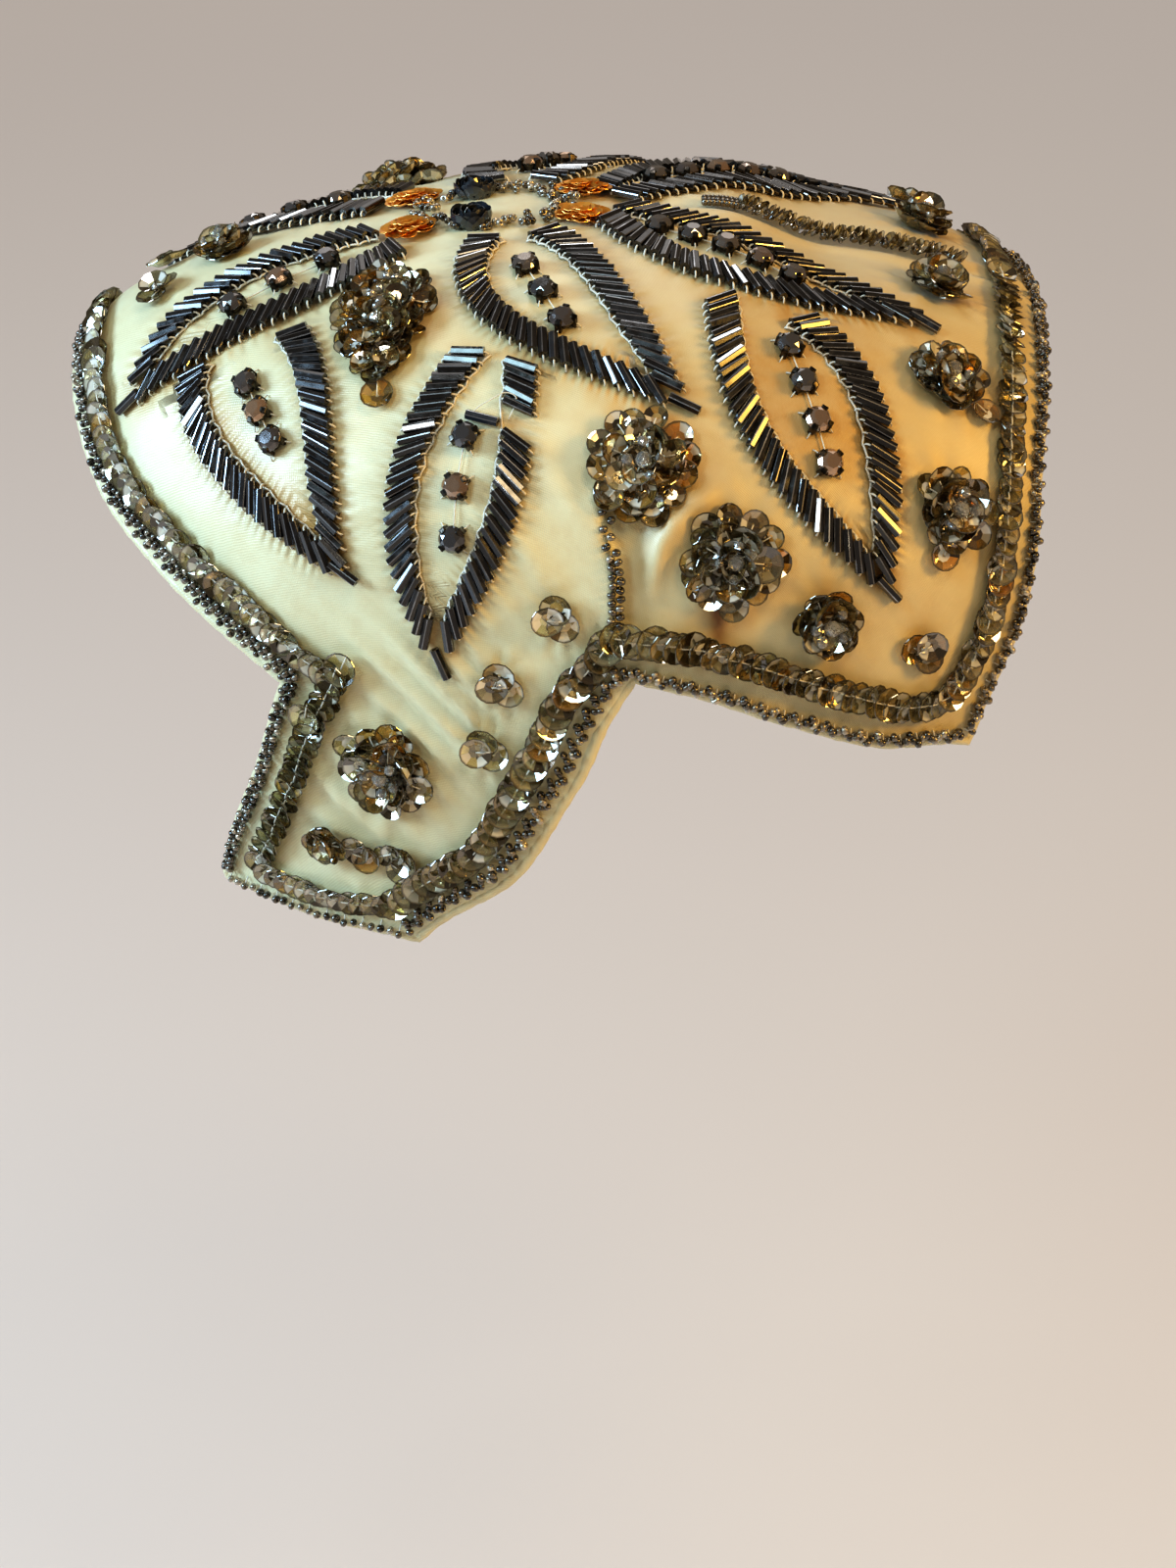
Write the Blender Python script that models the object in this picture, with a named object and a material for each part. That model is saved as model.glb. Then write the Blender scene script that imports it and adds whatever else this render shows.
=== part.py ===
"""A beaded half hat: a satin crown with temple flaps and a square back panel, embroidered with leaves.

Metres, +Z up. The front of the hat faces -Y, and the wearer's left is +X. The origin is the point inside
the top of the crown where the head touches it, straight above the crown's centre.

Places on the crown are angles in degrees from its hub, where the leaves spring from: "front" counts towards
the front of the hat and "side" towards the wearer's left. The rim is given by "turn", degrees round the hub
from the front, and "down", degrees down from the hub. Sizes and insets are millimetres until MM scales them.
"""

from math import cos, pi, radians, sin

import bmesh
import bpy
import numpy as np

MM = 0.001

# The crown's outer face
HALF_WIDTH = 76.0
HALF_LENGTH = 104.0
HEIGHT = 60.0
SIDE_DROP = 150.0
PLAN_ROUNDNESS = 2.1
PROFILE_ROUNDNESS = 2.55
WALL = 2.0
CENTRE = np.array([0.0, 0.0, WALL - HEIGHT])
HUB_TILT = radians(22.5)
BROW_HEIGHT = 9.5
BROW_TILT = radians(17.0)
BROW_SPREAD = 0.04
VALLEY_DEPTH = 5.7
VALLEY_WIDTH = 37.0
VALLEY_START = 16.0
VALLEY_FADE = 25.0

# Everything sewn on keeps this far from the cloth
GAP = 0.3

# The rim of the wearer's left half. "corner" starts a new stretch, and "beads" and "sequins" are how far
# inside the rim their rows run.
RIM_COLUMNS = ("mark", "turn", "down", "corner", "beads", "sequins")
RIM = (
    ("front centre", 0.0, 52.5, True, 4.5, 10.5),
    ("brow", 8.0, 54.5, False, 4.5, 10.5),
    ("brow side", 17.5, 62.0, False, 4.5, 10.5),
    ("front side", 27.0, 67.5, False, 4.5, 10.5),
    ("above the temple", 35.0, 73.0, False, 3.5, 10.0),
    ("temple", 44.0, 81.0, True, 2.4, 8.5),
    ("flap front", 36.0, 92.0, False, 2.2, 8.0),
    ("flap front corner", 26.0, 103.5, True, 2.2, 8.0),
    ("flap hem", 37.5, 109.2, False, 2.2, 8.0),
    ("flap tip", 47.5, 115.0, True, 2.4, 8.0),
    ("flap back low", 62.5, 112.5, False, 2.8, 9.0),
    ("flap back high", 75.0, 104.5, False, 2.8, 9.0),
    ("under the ear notch", 83.0, 97.0, False, 2.6, 9.0),
    ("ear notch", 89.0, 92.5, True, 2.4, 8.0),
    ("back panel start", 95.0, 97.0, False, 2.2, 9.0),
    ("back panel hem", 105.5, 106.5, False, 2.2, 9.0),
    ("back panel low", 116.5, 115.0, False, 2.2, 8.5),
    ("back corner", 128.5, 120.0, True, 2.4, 8.5),
    ("back edge low", 137.5, 110.0, False, 2.2, 8.5),
    ("back edge middle", 142.5, 102.0, False, 2.2, 8.5),
    ("back edge high", 148.5, 93.0, False, 2.2, 8.5),
    ("back arch", 157.5, 87.5, False, 2.2, 8.5),
    ("back centre", 180.0, 85.5, True, 2.2, 8.5),
)

# Each leaf has two rows of bugle beads that meet at its tip. "bow" is how far a row bows out to its left,
# in degrees, and "belly" how far along its length that bow is widest.
ROW_COLUMNS = ("leaf", "start_front", "start_side", "tip_front", "tip_side", "bow", "belly")
ROWS = (
    ("front_lead", 15.5, 14.5, 47.0, 18.5, 4.6, 0.42),
    ("front_lead", 20.5, 5.2, 47.0, 18.5, -2.6, 0.50),
    ("front_leaf", 41.0, 25.5, 37.0, 56.0, -3.6, 0.36),
    ("front_leaf", 28.5, 27.0, 37.0, 56.0, 3.9, 0.42),
    ("side_lead", 1.8, 15.5, -22.0, 56.0, -11.0, 0.40),
    ("side_lead", -6.0, 14.5, -22.0, 56.0, 3.0, 0.30),
    ("side_leaf", 7.8, 42.5, 33.0, 73.5, -3.9, 0.55),
    ("side_leaf", 0.5, 47.0, 33.0, 73.5, 7.6, 0.47),
    ("back_lead", -22.0, 4.2, -64.0, 32.0, 0.3, 0.50),
    ("back_lead", -20.0, 10.5, -64.0, 32.0, -11.8, 0.48),
    ("back_leaf", -33.5, 38.0, -52.0, 78.0, -10.0, 0.52),
    ("back_leaf", -45.5, 41.0, -52.0, 78.0, 4.8, 0.36),
)
ROW_WIDTH = 5.6
ROW_HEIGHT = 2.1
ROW_STATIONS = 8

# The cut stones inside each leaf, sewn along one thread
STONE_COLUMNS = ("leaf", "count", "start_front", "start_side", "end_front", "end_side")
STONES = (
    ("front_lead", 3, 23.5, 12.5, 34.0, 15.5),
    ("front_leaf", 3, 35.0, 29.5, 35.0, 38.5),
    ("side_lead", 3, -3.5, 26.0, -7.5, 40.0),
    ("side_leaf", 3, 11.0, 53.0, 19.0, 63.5),
    ("back_lead", 5, -27.0, 14.5, -47.0, 28.0),
    ("back_leaf", 4, -42.0, 46.0, -44.0, 63.5),
)
STONE_SIZE = 5.4
STONE_TABLE = 0.55
STONE_GIRDLE = 1.5
STONE_HEIGHT = 2.9
STONE_SIDES = 8
THREAD_WIDTH = 1.0
THREAD_LOW = 0.6
THREAD_HIGH = 1.1

# Blossoms of sequins. "heading" turns a long one, in degrees from the front towards the side.
BLOSSOM_COLUMNS = ("name", "front", "side", "length", "width", "heading", "height", "lobes")
BLOSSOMS = (
    ("grape_bunch", 18.0, 31.5, 29.0, 16.0, 75.0, 5.0, 7),
    ("ear_blossom", -14.0, 64.0, 19.0, 19.0, 0.0, 5.5, 7),
    ("nape_blossom", -25.0, 78.0, 19.0, 19.0, 0.0, 5.5, 7),
    ("hem_blossom", -41.0, 86.0, 14.5, 14.5, 0.0, 4.5, 6),
    ("hem_trio", -61.0, 85.0, 10.0, 8.0, 0.0, 2.5, 3),
    ("back_blossom_high", -70.0, 18.0, 15.0, 13.0, 90.0, 5.0, 7),
    ("back_blossom_middle", -65.0, 43.5, 16.0, 16.0, 0.0, 5.0, 7),
    ("back_blossom_low", -64.0, 63.5, 18.0, 16.0, 0.0, 5.0, 7),
    ("notch_trio", 10.0, 79.5, 10.5, 8.0, 90.0, 2.5, 3),
    ("flap_trio_high", 26.5, 82.5, 10.5, 8.5, 90.0, 2.5, 3),
    ("flap_trio_low", 37.5, 87.0, 10.0, 8.0, 90.0, 2.5, 3),
    ("flap_blossom", 56.0, 75.5, 20.0, 19.0, 0.0, 6.0, 7),
    ("flap_hem_blossom", 71.0, 74.8, 25.0, 10.0, 120.0, 3.5, 6),
)
BROW_BLOSSOM = ("brow_blossom", 34.5, 0.0, 13.0, 12.0, 0.0, 4.5, 7)
LOBE_CUT = 0.14

# The rosette round the hub: coiled discs on a narrow ring
DISC_COLUMNS = ("turn", "down")
DISCS = ((27.0, 15.0), (60.0, 8.5), (152.0, 15.5))
DISC_RADIUS = 5.2
DISC_HEIGHT = 2.2
DISC_SIDES = 10
RING_WIDTH = 3.0
RING_HEIGHT = 1.4

EDGE_SEQUIN_WIDTH = 5.6
EDGE_SEQUIN_HEIGHT = 1.2
EDGE_BEAD_WIDTH = 2.8
EDGE_BEAD_HEIGHT = 2.2
EDGE_STEP = 10.5
# Rows of beads from one place to another
DART = ((-6.5, 68.5), (-5.0, 73.0), (-4.5, 77.0), (-3.0, 80.0))
DART_WIDTH = 2.6
SEAM = ((-35.0, 0.0), (-50.0, 0.0), (-64.0, 0.0), (-76.0, 0.0))
SEAM_WIDTH = 3.4
BEAD_ROW_HEIGHT = 1.8

# How many faces the crown has along each stretch of its edge, for one half
FACES_BROW, FACES_FLAP_FRONT = 8, 5
FACES_FLAP_HEM, FACES_FLAP_BACK, FACES_PANEL = 4, 9, 8


def smooth_step(t):
    t = np.clip(t, 0.0, 1.0)
    return t * t * (3.0 - 2.0 * t)


def crown_radius(heading):
    """How far the crown's outer face is from its centre, along each unit vector."""
    x, y, z = np.moveaxis(heading, -1, 0)
    plan = np.abs(x / HALF_WIDTH) ** PLAN_ROUNDNESS + np.abs(y / HALF_LENGTH) ** PLAN_ROUNDNESS
    rise = np.abs(z / np.where(z < 0, SIDE_DROP, HEIGHT)) ** PROFILE_ROUNDNESS
    radius = (plan ** (PROFILE_ROUNDNESS / PLAN_ROUNDNESS) + rise) ** (-1.0 / PROFILE_ROUNDNESS)
    brow = np.array([0.0, -cos(BROW_TILT), sin(BROW_TILT)])
    swell = BROW_HEIGHT * np.exp(-(1.0 - heading @ brow) / BROW_SPREAD)
    behind = smooth_step((y * radius - VALLEY_START) / VALLEY_FADE) * smooth_step(4.0 * z)
    valley = VALLEY_DEPTH * np.exp(-((x * radius / VALLEY_WIDTH) ** 2)) * behind
    return radius + swell - valley


def heading_of(front, side):
    """The unit vector from the crown's centre to a place given in degrees from the hub."""
    front, side = np.broadcast_arrays(np.asarray(front, float), np.asarray(side, float))
    down = np.radians(np.hypot(front, side))[..., None]
    turn = np.arctan2(side, front)[..., None]
    hub = np.array([0.0, -sin(HUB_TILT), cos(HUB_TILT)])
    forward = np.array([0.0, -cos(HUB_TILT), -sin(HUB_TILT)])
    left = np.array([1.0, 0.0, 0.0])
    return np.cos(down) * hub + np.sin(down) * (np.cos(turn) * forward + np.sin(turn) * left)


def unit(vectors):
    return vectors / np.linalg.norm(vectors, axis=-1, keepdims=True)


def depth_in_crown(points):
    from_centre = points - CENTRE
    return np.linalg.norm(from_centre, axis=-1) - crown_radius(unit(from_centre))


def crown_normal(points, step=0.5):
    """The outward normal of the crown at points on or near it."""
    slopes = [
        depth_in_crown(points + axis) - depth_in_crown(points - axis) for axis in np.eye(3) * step
    ]
    return unit(np.stack(slopes, axis=-1))


def onto_crown(points, lift=0.0):
    """The points moved onto the crown's outer face, then lifted off it along its normal."""
    headings = unit(points - CENTRE)
    on_face = CENTRE + crown_radius(headings)[..., None] * headings
    return on_face + np.asarray(lift)[..., None] * crown_normal(on_face)


def place(front, side, lift=0.0):
    return onto_crown(CENTRE + 50.0 * heading_of(front, side), lift)


def curve_through(marks, steps):
    """A smooth curve through the marks, with this many steps between each two."""
    marks = np.asarray(marks, float)
    ends = np.vstack([2 * marks[0] - marks[1], marks, 2 * marks[-1] - marks[-2]])
    t = np.linspace(0.0, 1.0, steps, endpoint=False)[:, None]
    runs = []
    for a, b, c, d in zip(ends, ends[1:], ends[2:], ends[3:]):
        runs.append(
            0.5 * (2 * b + (c - a) * t + (2 * a - 5 * b + 4 * c - d) * t**2 + (3 * b - a - 3 * c + d) * t**3)
        )
    return np.vstack([*runs, marks[-1:]])


def spread(path, count, start=0.0, end=0.0):
    """The path with count equal steps, after leaving off a length at its start and at its end."""
    along = np.concatenate([[0.0], np.cumsum(np.linalg.norm(np.diff(path, axis=0), axis=1))])
    at = np.linspace(start, along[-1] - end, count + 1)
    return np.stack([np.interp(at, along, path[:, axis]) for axis in range(3)], axis=-1)


def rim_stretches():
    """Each stretch of the rim between two corners: its points on the crown, and both insets at each."""
    stretches = []
    rows = [dict(zip(RIM_COLUMNS, row)) for row in RIM]
    corners = [index for index, row in enumerate(rows) if row["corner"]]
    for first, last in zip(corners, corners[1:]):
        marks = rows[first : last + 1]
        turns = np.radians([mark["turn"] for mark in marks])
        downs = np.array([mark["down"] for mark in marks])
        table = np.stack(
            [
                downs * np.cos(turns),
                downs * np.sin(turns),
                [mark["beads"] for mark in marks],
                [mark["sequins"] for mark in marks],
            ],
            axis=-1,
        )
        # The rim runs straight across the middle line, so the mark before or after it is the mirrored one
        mirrored = table * [1.0, -1.0, 1.0, 1.0]
        if first == 0:
            curve = curve_through([mirrored[1], *table], 12)[12:]
        elif last == len(rows) - 1:
            curve = curve_through([*table, mirrored[-2]], 12)[:-12]
        else:
            curve = curve_through(table, 12)
        stretches.append((place(curve[:, 0], curve[:, 1]), curve[:, 2:]))
    return stretches


def inward(path):
    """The direction along the cloth, square to the path and to the left as the path runs, at each point."""
    return unit(np.cross(crown_normal(path), unit(np.gradient(path, axis=0))))


def row_inside_rim(which, lift):
    """The path of the bead row, 0, or the sequin row, 1: each corner keeps its point."""
    stretches = rim_stretches()
    inners = [inward(path) for path, _ in stretches]
    runs = []
    for index, (path, insets) in enumerate(stretches):
        inset = insets[:, which]
        run = path + inset[:, None] * inners[index]
        trims = [0.0, 0.0]
        mitres = [None, None]
        for end, other in ((0, index - 1), (1, index + 1)):
            if not 0 <= other < len(stretches):
                continue
            mine = inners[index][0 if end == 0 else -1]
            theirs = inners[other][-1 if end == 0 else 0]
            corner = path[0 if end == 0 else -1]
            middle = unit(mine + theirs)
            size = inset[0 if end == 0 else -1]
            mitres[end] = corner + middle * size / (middle @ mine)
            tangent = (path[1] - path[0]) if end == 0 else (path[-2] - path[-1])
            trims[end] = max(0.0, (mitres[end] - corner) @ unit(tangent))
        along = np.concatenate([[0.0], np.cumsum(np.linalg.norm(np.diff(path, axis=0), axis=1))])
        keep = (along >= trims[0]) & (along <= along[-1] - trims[1])
        run = run[keep]
        if mitres[0] is not None:
            run = np.vstack([mitres[0], run])
        if mitres[1] is not None:
            run = np.vstack([run, mitres[1]])
        runs.append(onto_crown(run, lift))
    return runs


def both_halves(half):
    """A closed path round the hat from a path along its left half, front centre to back centre."""
    half = half.copy()
    half[[0, -1], 0] = 0.0
    return np.vstack([half, half[-2:0:-1] * [-1.0, 1.0, 1.0]])


def grid_object(name, points, material, around=False, closed=False):
    """A mesh from a grid of points. around joins its last column to its first, closed its last row."""
    rows, columns = points.shape[:2]
    if around:
        points = np.concatenate([points, points[:, :1]], axis=1)
    if closed:
        points = np.concatenate([points, points[:1]], axis=0)
    tall, wide = points.shape[0] - 1, points.shape[1] - 1
    mesh = bmesh.new()
    bmesh.ops.create_grid(mesh, x_segments=wide, y_segments=tall, size=1.0)
    for vert in mesh.verts:
        column = round((vert.co.x + 1.0) / 2.0 * wide)
        row = round((vert.co.y + 1.0) / 2.0 * tall)
        vert.co = points[row, column] * MM
    if around:
        bmesh.ops.remove_doubles(mesh, verts=mesh.verts, dist=1e-7)
        if not closed:
            bmesh.ops.holes_fill(mesh, edges=mesh.edges)
        bmesh.ops.recalc_face_normals(mesh, faces=mesh.faces)
    return finished(name, mesh, material)


def finished(name, mesh, material):
    data = bpy.data.meshes.new(name)
    mesh.to_mesh(data)
    mesh.free()
    data.shade_smooth()
    data.set_sharp_from_angle(angle=radians(40.0))
    data.materials.append(material)
    thing = bpy.data.objects.new(name, data)
    bpy.context.scene.collection.objects.link(thing)
    return thing


def band(name, path, section, material, closed=False):
    """A strip along a path on the crown. section lists (across, lift) corners round the strip."""
    path = onto_crown(path)
    if closed:
        wrapped = np.vstack([path[-1:], path, path[:1]])
        along = unit(np.gradient(wrapped, axis=0))[1:-1]
    else:
        along = unit(np.gradient(path, axis=0))
    normal = crown_normal(path)
    across = unit(np.cross(normal, along))
    rings = [path + a * across + lift * normal for a, lift in section]
    return grid_object(name, np.stack(rings, axis=1), material, around=True, closed=closed)


def flat_section(width, low, high):
    """A strip's corners: flat underneath, with sloping sides."""
    half = width / 2.0
    return ((-half, low), (half, low), (0.7 * half, high), (-0.7 * half, high))


def round_section(width, low, high):
    half, middle = width / 2.0, (low + high) / 2.0
    return ((-0.5 * half, low), (0.5 * half, low), (half, middle), (0.5 * half, high), (-0.5 * half, high), (-half, middle))


def join(thing, others):
    """Fuses the others into the thing."""
    for other in others:
        fuse = thing.modifiers.new("Fuse", "BOOLEAN")
        fuse.operation = "UNION"
        fuse.object = other
        other.hide_render = True
        other.display_type = "WIRE"


def crown_half():
    """The left half's outer face as a four-sided patch: middle line, front, hems and back edge."""
    brow, flap_front, hem, flap_back, panel, back = [path for path, _ in rim_stretches()]
    tall = FACES_BROW + FACES_FLAP_FRONT
    wide = FACES_FLAP_HEM + FACES_FLAP_BACK + FACES_PANEL
    front = np.vstack([spread(brow, FACES_BROW)[:-1], spread(flap_front, FACES_FLAP_FRONT)])
    low = np.vstack(
        [spread(hem, FACES_FLAP_HEM)[:-1], spread(flap_back, FACES_FLAP_BACK)[:-1], spread(panel, FACES_PANEL)]
    )
    rear = spread(back[::-1], tall)
    middle = spread(place(np.linspace(RIM[0][2], -RIM[-1][2], 120), 0.0), wide)
    u = np.linspace(0.0, 1.0, wide + 1)[None, :, None]
    v = np.linspace(0.0, 1.0, tall + 1)[:, None, None]
    patch = (1 - v) * middle[None] + v * low[None] + (1 - u) * front[:, None] + u * rear[:, None]
    patch -= (1 - u) * (1 - v) * middle[0] + u * (1 - v) * middle[-1]
    patch -= (1 - u) * v * low[0] + u * v * low[-1]
    patch = onto_crown(patch)
    patch[0, :, 0] = 0.0
    return patch


def make_crown(material):
    crown = grid_object("crown", crown_half()[:, ::-1], material)
    halves = crown.modifiers.new("Halves", "MIRROR")
    halves.use_axis = (True, False, False)
    halves.merge_threshold = 0.00005
    wall = crown.modifiers.new("Wall", "SOLIDIFY")
    wall.thickness = WALL * MM
    wall.offset = -1.0
    wall.use_even_offset = True
    return crown


def row_path(row, hand, count):
    """The middle line of one row of bugles, from its start to its leaf's tip."""
    t = np.linspace(0.0, 1.0, 60)
    start = np.array([row["start_front"], row["start_side"]])
    run = np.array([row["tip_front"], row["tip_side"]]) - start
    out = np.array([-run[1], run[0]]) / np.hypot(*run)
    swing = row["bow"] * np.sin(pi * t ** (np.log(0.5) / np.log(row["belly"])))
    plan = start + t[:, None] * run + swing[:, None] * out
    return spread(place(plan[:, 0], hand * plan[:, 1]), count)


def make_leaf(leaf, hand, side_name, material):
    rows = [dict(zip(ROW_COLUMNS, row)) for row in ROWS if row[0] == leaf]
    strips = []
    for index, row in enumerate(rows):
        path = row_path(row, hand, ROW_STATIONS)
        # The second row lies a hair lower, so that the two meet in clean edges at the tip
        low, high = GAP + 0.1 * index, GAP + ROW_HEIGHT - 0.25 * index
        name = f"{leaf}_bugles_{side_name}" if index == 0 else f"{leaf}_{side_name}_second_row"
        strips.append(band(name, path, flat_section(ROW_WIDTH, low, high), material))
    join(strips[0], strips[1:])


def ring_of(centre, axis_a, axis_b, radii, lift):
    """Points round a centre on the crown, at these radii and lift."""
    angles = np.linspace(0.0, 2.0 * pi, len(radii), endpoint=False)
    flat = centre + radii[:, None] * (np.cos(angles)[:, None] * axis_a + np.sin(angles)[:, None] * axis_b)
    return onto_crown(flat, lift)


def mound(name, centre, along, levels, material):
    """A closed low mound on the crown. Each level gives radii along and across, and a lift."""
    normal = crown_normal(centre)
    along = unit(along - (along @ normal) * normal)
    across = np.cross(normal, along)
    rings = [ring_of(centre, along, across * wide, radii, lift) for radii, wide, lift in levels]
    return grid_object(name, np.stack(rings), material, around=True)


def make_blossom(row, hand, name, material):
    blossom = dict(zip(BLOSSOM_COLUMNS, row))
    centre = place(blossom["front"], hand * blossom["side"])
    turn = radians(blossom["heading"])
    ahead = place(blossom["front"] + cos(turn), hand * (blossom["side"] + sin(turn)))
    sides = 2 * blossom["lobes"]
    angles = np.linspace(0.0, 2.0 * pi, sides, endpoint=False)
    lobes = 1.0 - LOBE_CUT * (0.5 - 0.5 * np.cos(blossom["lobes"] * angles))
    reach = blossom["length"] / 2.0 * lobes
    squeeze = blossom["width"] / blossom["length"]
    height = blossom["height"]
    levels = (
        (reach * 0.42, squeeze, GAP),
        (reach * 0.92, squeeze, GAP),
        (reach, squeeze, GAP + 0.4 * height),
        (reach * 0.5, squeeze, GAP + height),
    )
    return mound(name, centre, ahead - centre, levels, material)


def make_stones(row, hand, side_name, material):
    """A leaf's stones in their settings, joined by the thread that they are sewn on."""
    line = dict(zip(STONE_COLUMNS, row))
    ends = ((line["start_front"], line["start_side"]), (line["end_front"], line["end_side"]))
    t = np.linspace(0.0, 1.0, 30)[:, None]
    plan = np.asarray(ends[0]) * (1 - t) + np.asarray(ends[1]) * t
    path = place(plan[:, 0], hand * plan[:, 1])
    name = f"{line['leaf']}_stones_{side_name}"
    steps = 3 * (line["count"] - 1) // 2
    section = ((-THREAD_WIDTH / 2.0, THREAD_LOW), (THREAD_WIDTH / 2.0, THREAD_LOW), (0.0, THREAD_HIGH))
    thread = band(name, spread(path, steps), section, material)
    radii = np.full(STONE_SIDES, STONE_SIZE / 2.0)
    levels = (
        (radii * 0.8, 1.0, GAP),
        (radii, 1.0, GAP + STONE_GIRDLE),
        (radii * STONE_TABLE, 1.0, GAP + STONE_HEIGHT),
    )
    seats = spread(path, line["count"] - 1)
    ahead = seats[1] - seats[0]
    stones = [mound(f"{name}_cutter_{k}", seat, ahead, levels, material) for k, seat in enumerate(seats)]
    join(thread, stones)


def make_rosette(material):
    """Six coiled discs on a ring round the hub."""
    half = [(down * cos(radians(turn)), down * sin(radians(turn))) for turn, down in DISCS]
    whole = half + [(front, -side) for front, side in reversed(half)]
    ring_marks = np.array([whole[-1], *whole, whole[0], whole[1]])
    ring = curve_through(ring_marks, 2)[2:-3]
    path = place(ring[:, 0], ring[:, 1])
    rosette = band("hub_rosette", path, flat_section(RING_WIDTH, GAP, GAP + RING_HEIGHT), material, closed=True)
    radii = np.full(DISC_SIDES, DISC_RADIUS)
    levels = (
        (radii * 0.9, 1.0, GAP + 0.05),
        (radii, 1.0, GAP + 0.6 * DISC_HEIGHT),
        (radii * 0.3, 1.0, GAP + DISC_HEIGHT),
    )
    discs = []
    for index, (front, side) in enumerate(whole):
        centre = place(front, side)
        ahead = place(front + 1.0, side) - centre
        discs.append(mound(f"hub_disc_{index}", centre, ahead, levels, material))
    join(rosette, discs)


def make_edge_rows(bead_material, sequin_material):
    """The picot row of beads and the row of sequins, each a closed loop just inside the rim."""
    for name, which, section, material in (
        ("edge_beads", 0, round_section(EDGE_BEAD_WIDTH, GAP, GAP + EDGE_BEAD_HEIGHT), bead_material),
        ("edge_sequins", 1, flat_section(EDGE_SEQUIN_WIDTH, GAP, GAP + EDGE_SEQUIN_HEIGHT), sequin_material),
    ):
        runs = []
        for run in row_inside_rim(which, 0.0):
            length = np.linalg.norm(np.diff(run, axis=0), axis=1).sum()
            runs.append(spread(run, max(3, round(length / EDGE_STEP)))[:-1])
        half = np.vstack([*runs, run[-1:]])
        band(name, both_halves(half), section, material, closed=True)


def make_bead_row(name, marks, hand, width, steps, material):
    plan = curve_through(marks, 8)
    path = spread(place(plan[:, 0], hand * plan[:, 1]), steps)
    band(name, path, flat_section(width, GAP, GAP + BEAD_ROW_HEIGHT), material)


def surface(name, colour, roughness, metallic):
    material = bpy.data.materials.new(name)
    material.use_nodes = True
    shader = material.node_tree.nodes["Principled BSDF"]
    shader.inputs["Base Color"].default_value = (*colour, 1.0)
    shader.inputs["Roughness"].default_value = roughness
    shader.inputs["Metallic"].default_value = metallic
    return material


def main():
    for thing in list(bpy.data.objects):
        bpy.data.objects.remove(thing)
    satin = surface("cream satin", (0.80, 0.71, 0.50), 0.35, 0.0)
    bugle = surface("dark bugle glass", (0.03, 0.04, 0.06), 0.15, 0.6)
    stone = surface("smoky stone", (0.20, 0.20, 0.22), 0.05, 0.3)
    sequin = surface("gold grey sequin", (0.45, 0.37, 0.22), 0.15, 0.5)
    copper = surface("copper sequin", (0.70, 0.33, 0.08), 0.25, 0.6)
    bead = surface("clear grey bead", (0.40, 0.38, 0.34), 0.12, 0.2)
    make_crown(satin)
    make_edge_rows(bead, sequin)
    make_rosette(copper)
    make_blossom(BROW_BLOSSOM, 1.0, BROW_BLOSSOM[0], sequin)
    make_bead_row("back_seam_trim", SEAM, 1.0, SEAM_WIDTH, 10, bead)
    for side_name, hand in (("left", 1.0), ("right", -1.0)):
        for row in STONES:
            make_leaf(row[0], hand, side_name, bugle)
            make_stones(row, hand, side_name, stone)
        for row in BLOSSOMS:
            make_blossom(row, hand, f"{row[0]}_{side_name}", sequin)
        make_bead_row(f"dart_beads_{side_name}", DART, hand, DART_WIDTH, 5, bead)


main()
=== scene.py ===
"""How the beaded half hat looks: satin, bugle beads, stones, sequins, edge beads and their threads.

The crown's form, its rim and every place on it are the construction's own, in the same millimetres. Places
are angles in degrees from the hub that the leaves spring from: "front" counts towards the front of the hat
and "side" towards the wearer's left.
"""

from math import cos, pi, radians, sin

import bmesh
import bpy
import numpy as np
from mathutils import Matrix, Vector

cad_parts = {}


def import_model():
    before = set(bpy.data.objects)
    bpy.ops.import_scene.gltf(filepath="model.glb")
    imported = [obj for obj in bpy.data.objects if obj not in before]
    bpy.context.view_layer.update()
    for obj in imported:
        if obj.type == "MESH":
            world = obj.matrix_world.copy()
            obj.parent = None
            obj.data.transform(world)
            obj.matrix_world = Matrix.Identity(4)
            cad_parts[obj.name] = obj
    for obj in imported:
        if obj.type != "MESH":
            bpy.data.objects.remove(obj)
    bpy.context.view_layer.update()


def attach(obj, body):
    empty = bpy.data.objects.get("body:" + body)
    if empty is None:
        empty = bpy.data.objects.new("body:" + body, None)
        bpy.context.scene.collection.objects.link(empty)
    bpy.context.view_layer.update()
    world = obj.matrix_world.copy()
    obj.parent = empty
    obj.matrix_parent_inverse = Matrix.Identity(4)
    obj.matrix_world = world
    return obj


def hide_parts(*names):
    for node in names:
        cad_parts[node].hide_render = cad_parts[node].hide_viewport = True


MM = 0.001
rng = np.random.default_rng(1925)

# The crown's outer face
HALF_WIDTH = 76.0
HALF_LENGTH = 104.0
HEIGHT = 60.0
SIDE_DROP = 150.0
PLAN_ROUNDNESS = 2.1
PROFILE_ROUNDNESS = 2.55
WALL = 2.0
CENTRE = np.array([0.0, 0.0, WALL - HEIGHT])
HUB_TILT = radians(22.5)
HUB = np.array([0.0, -sin(HUB_TILT), cos(HUB_TILT)])
FORWARD = np.array([0.0, -cos(HUB_TILT), -sin(HUB_TILT)])
LEFT = np.array([1.0, 0.0, 0.0])
BROW_HEIGHT = 9.5
BROW_TILT = radians(17.0)
BROW_SPREAD = 0.04
VALLEY_DEPTH = 5.7
VALLEY_WIDTH = 37.0
VALLEY_START = 16.0
VALLEY_FADE = 25.0

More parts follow.
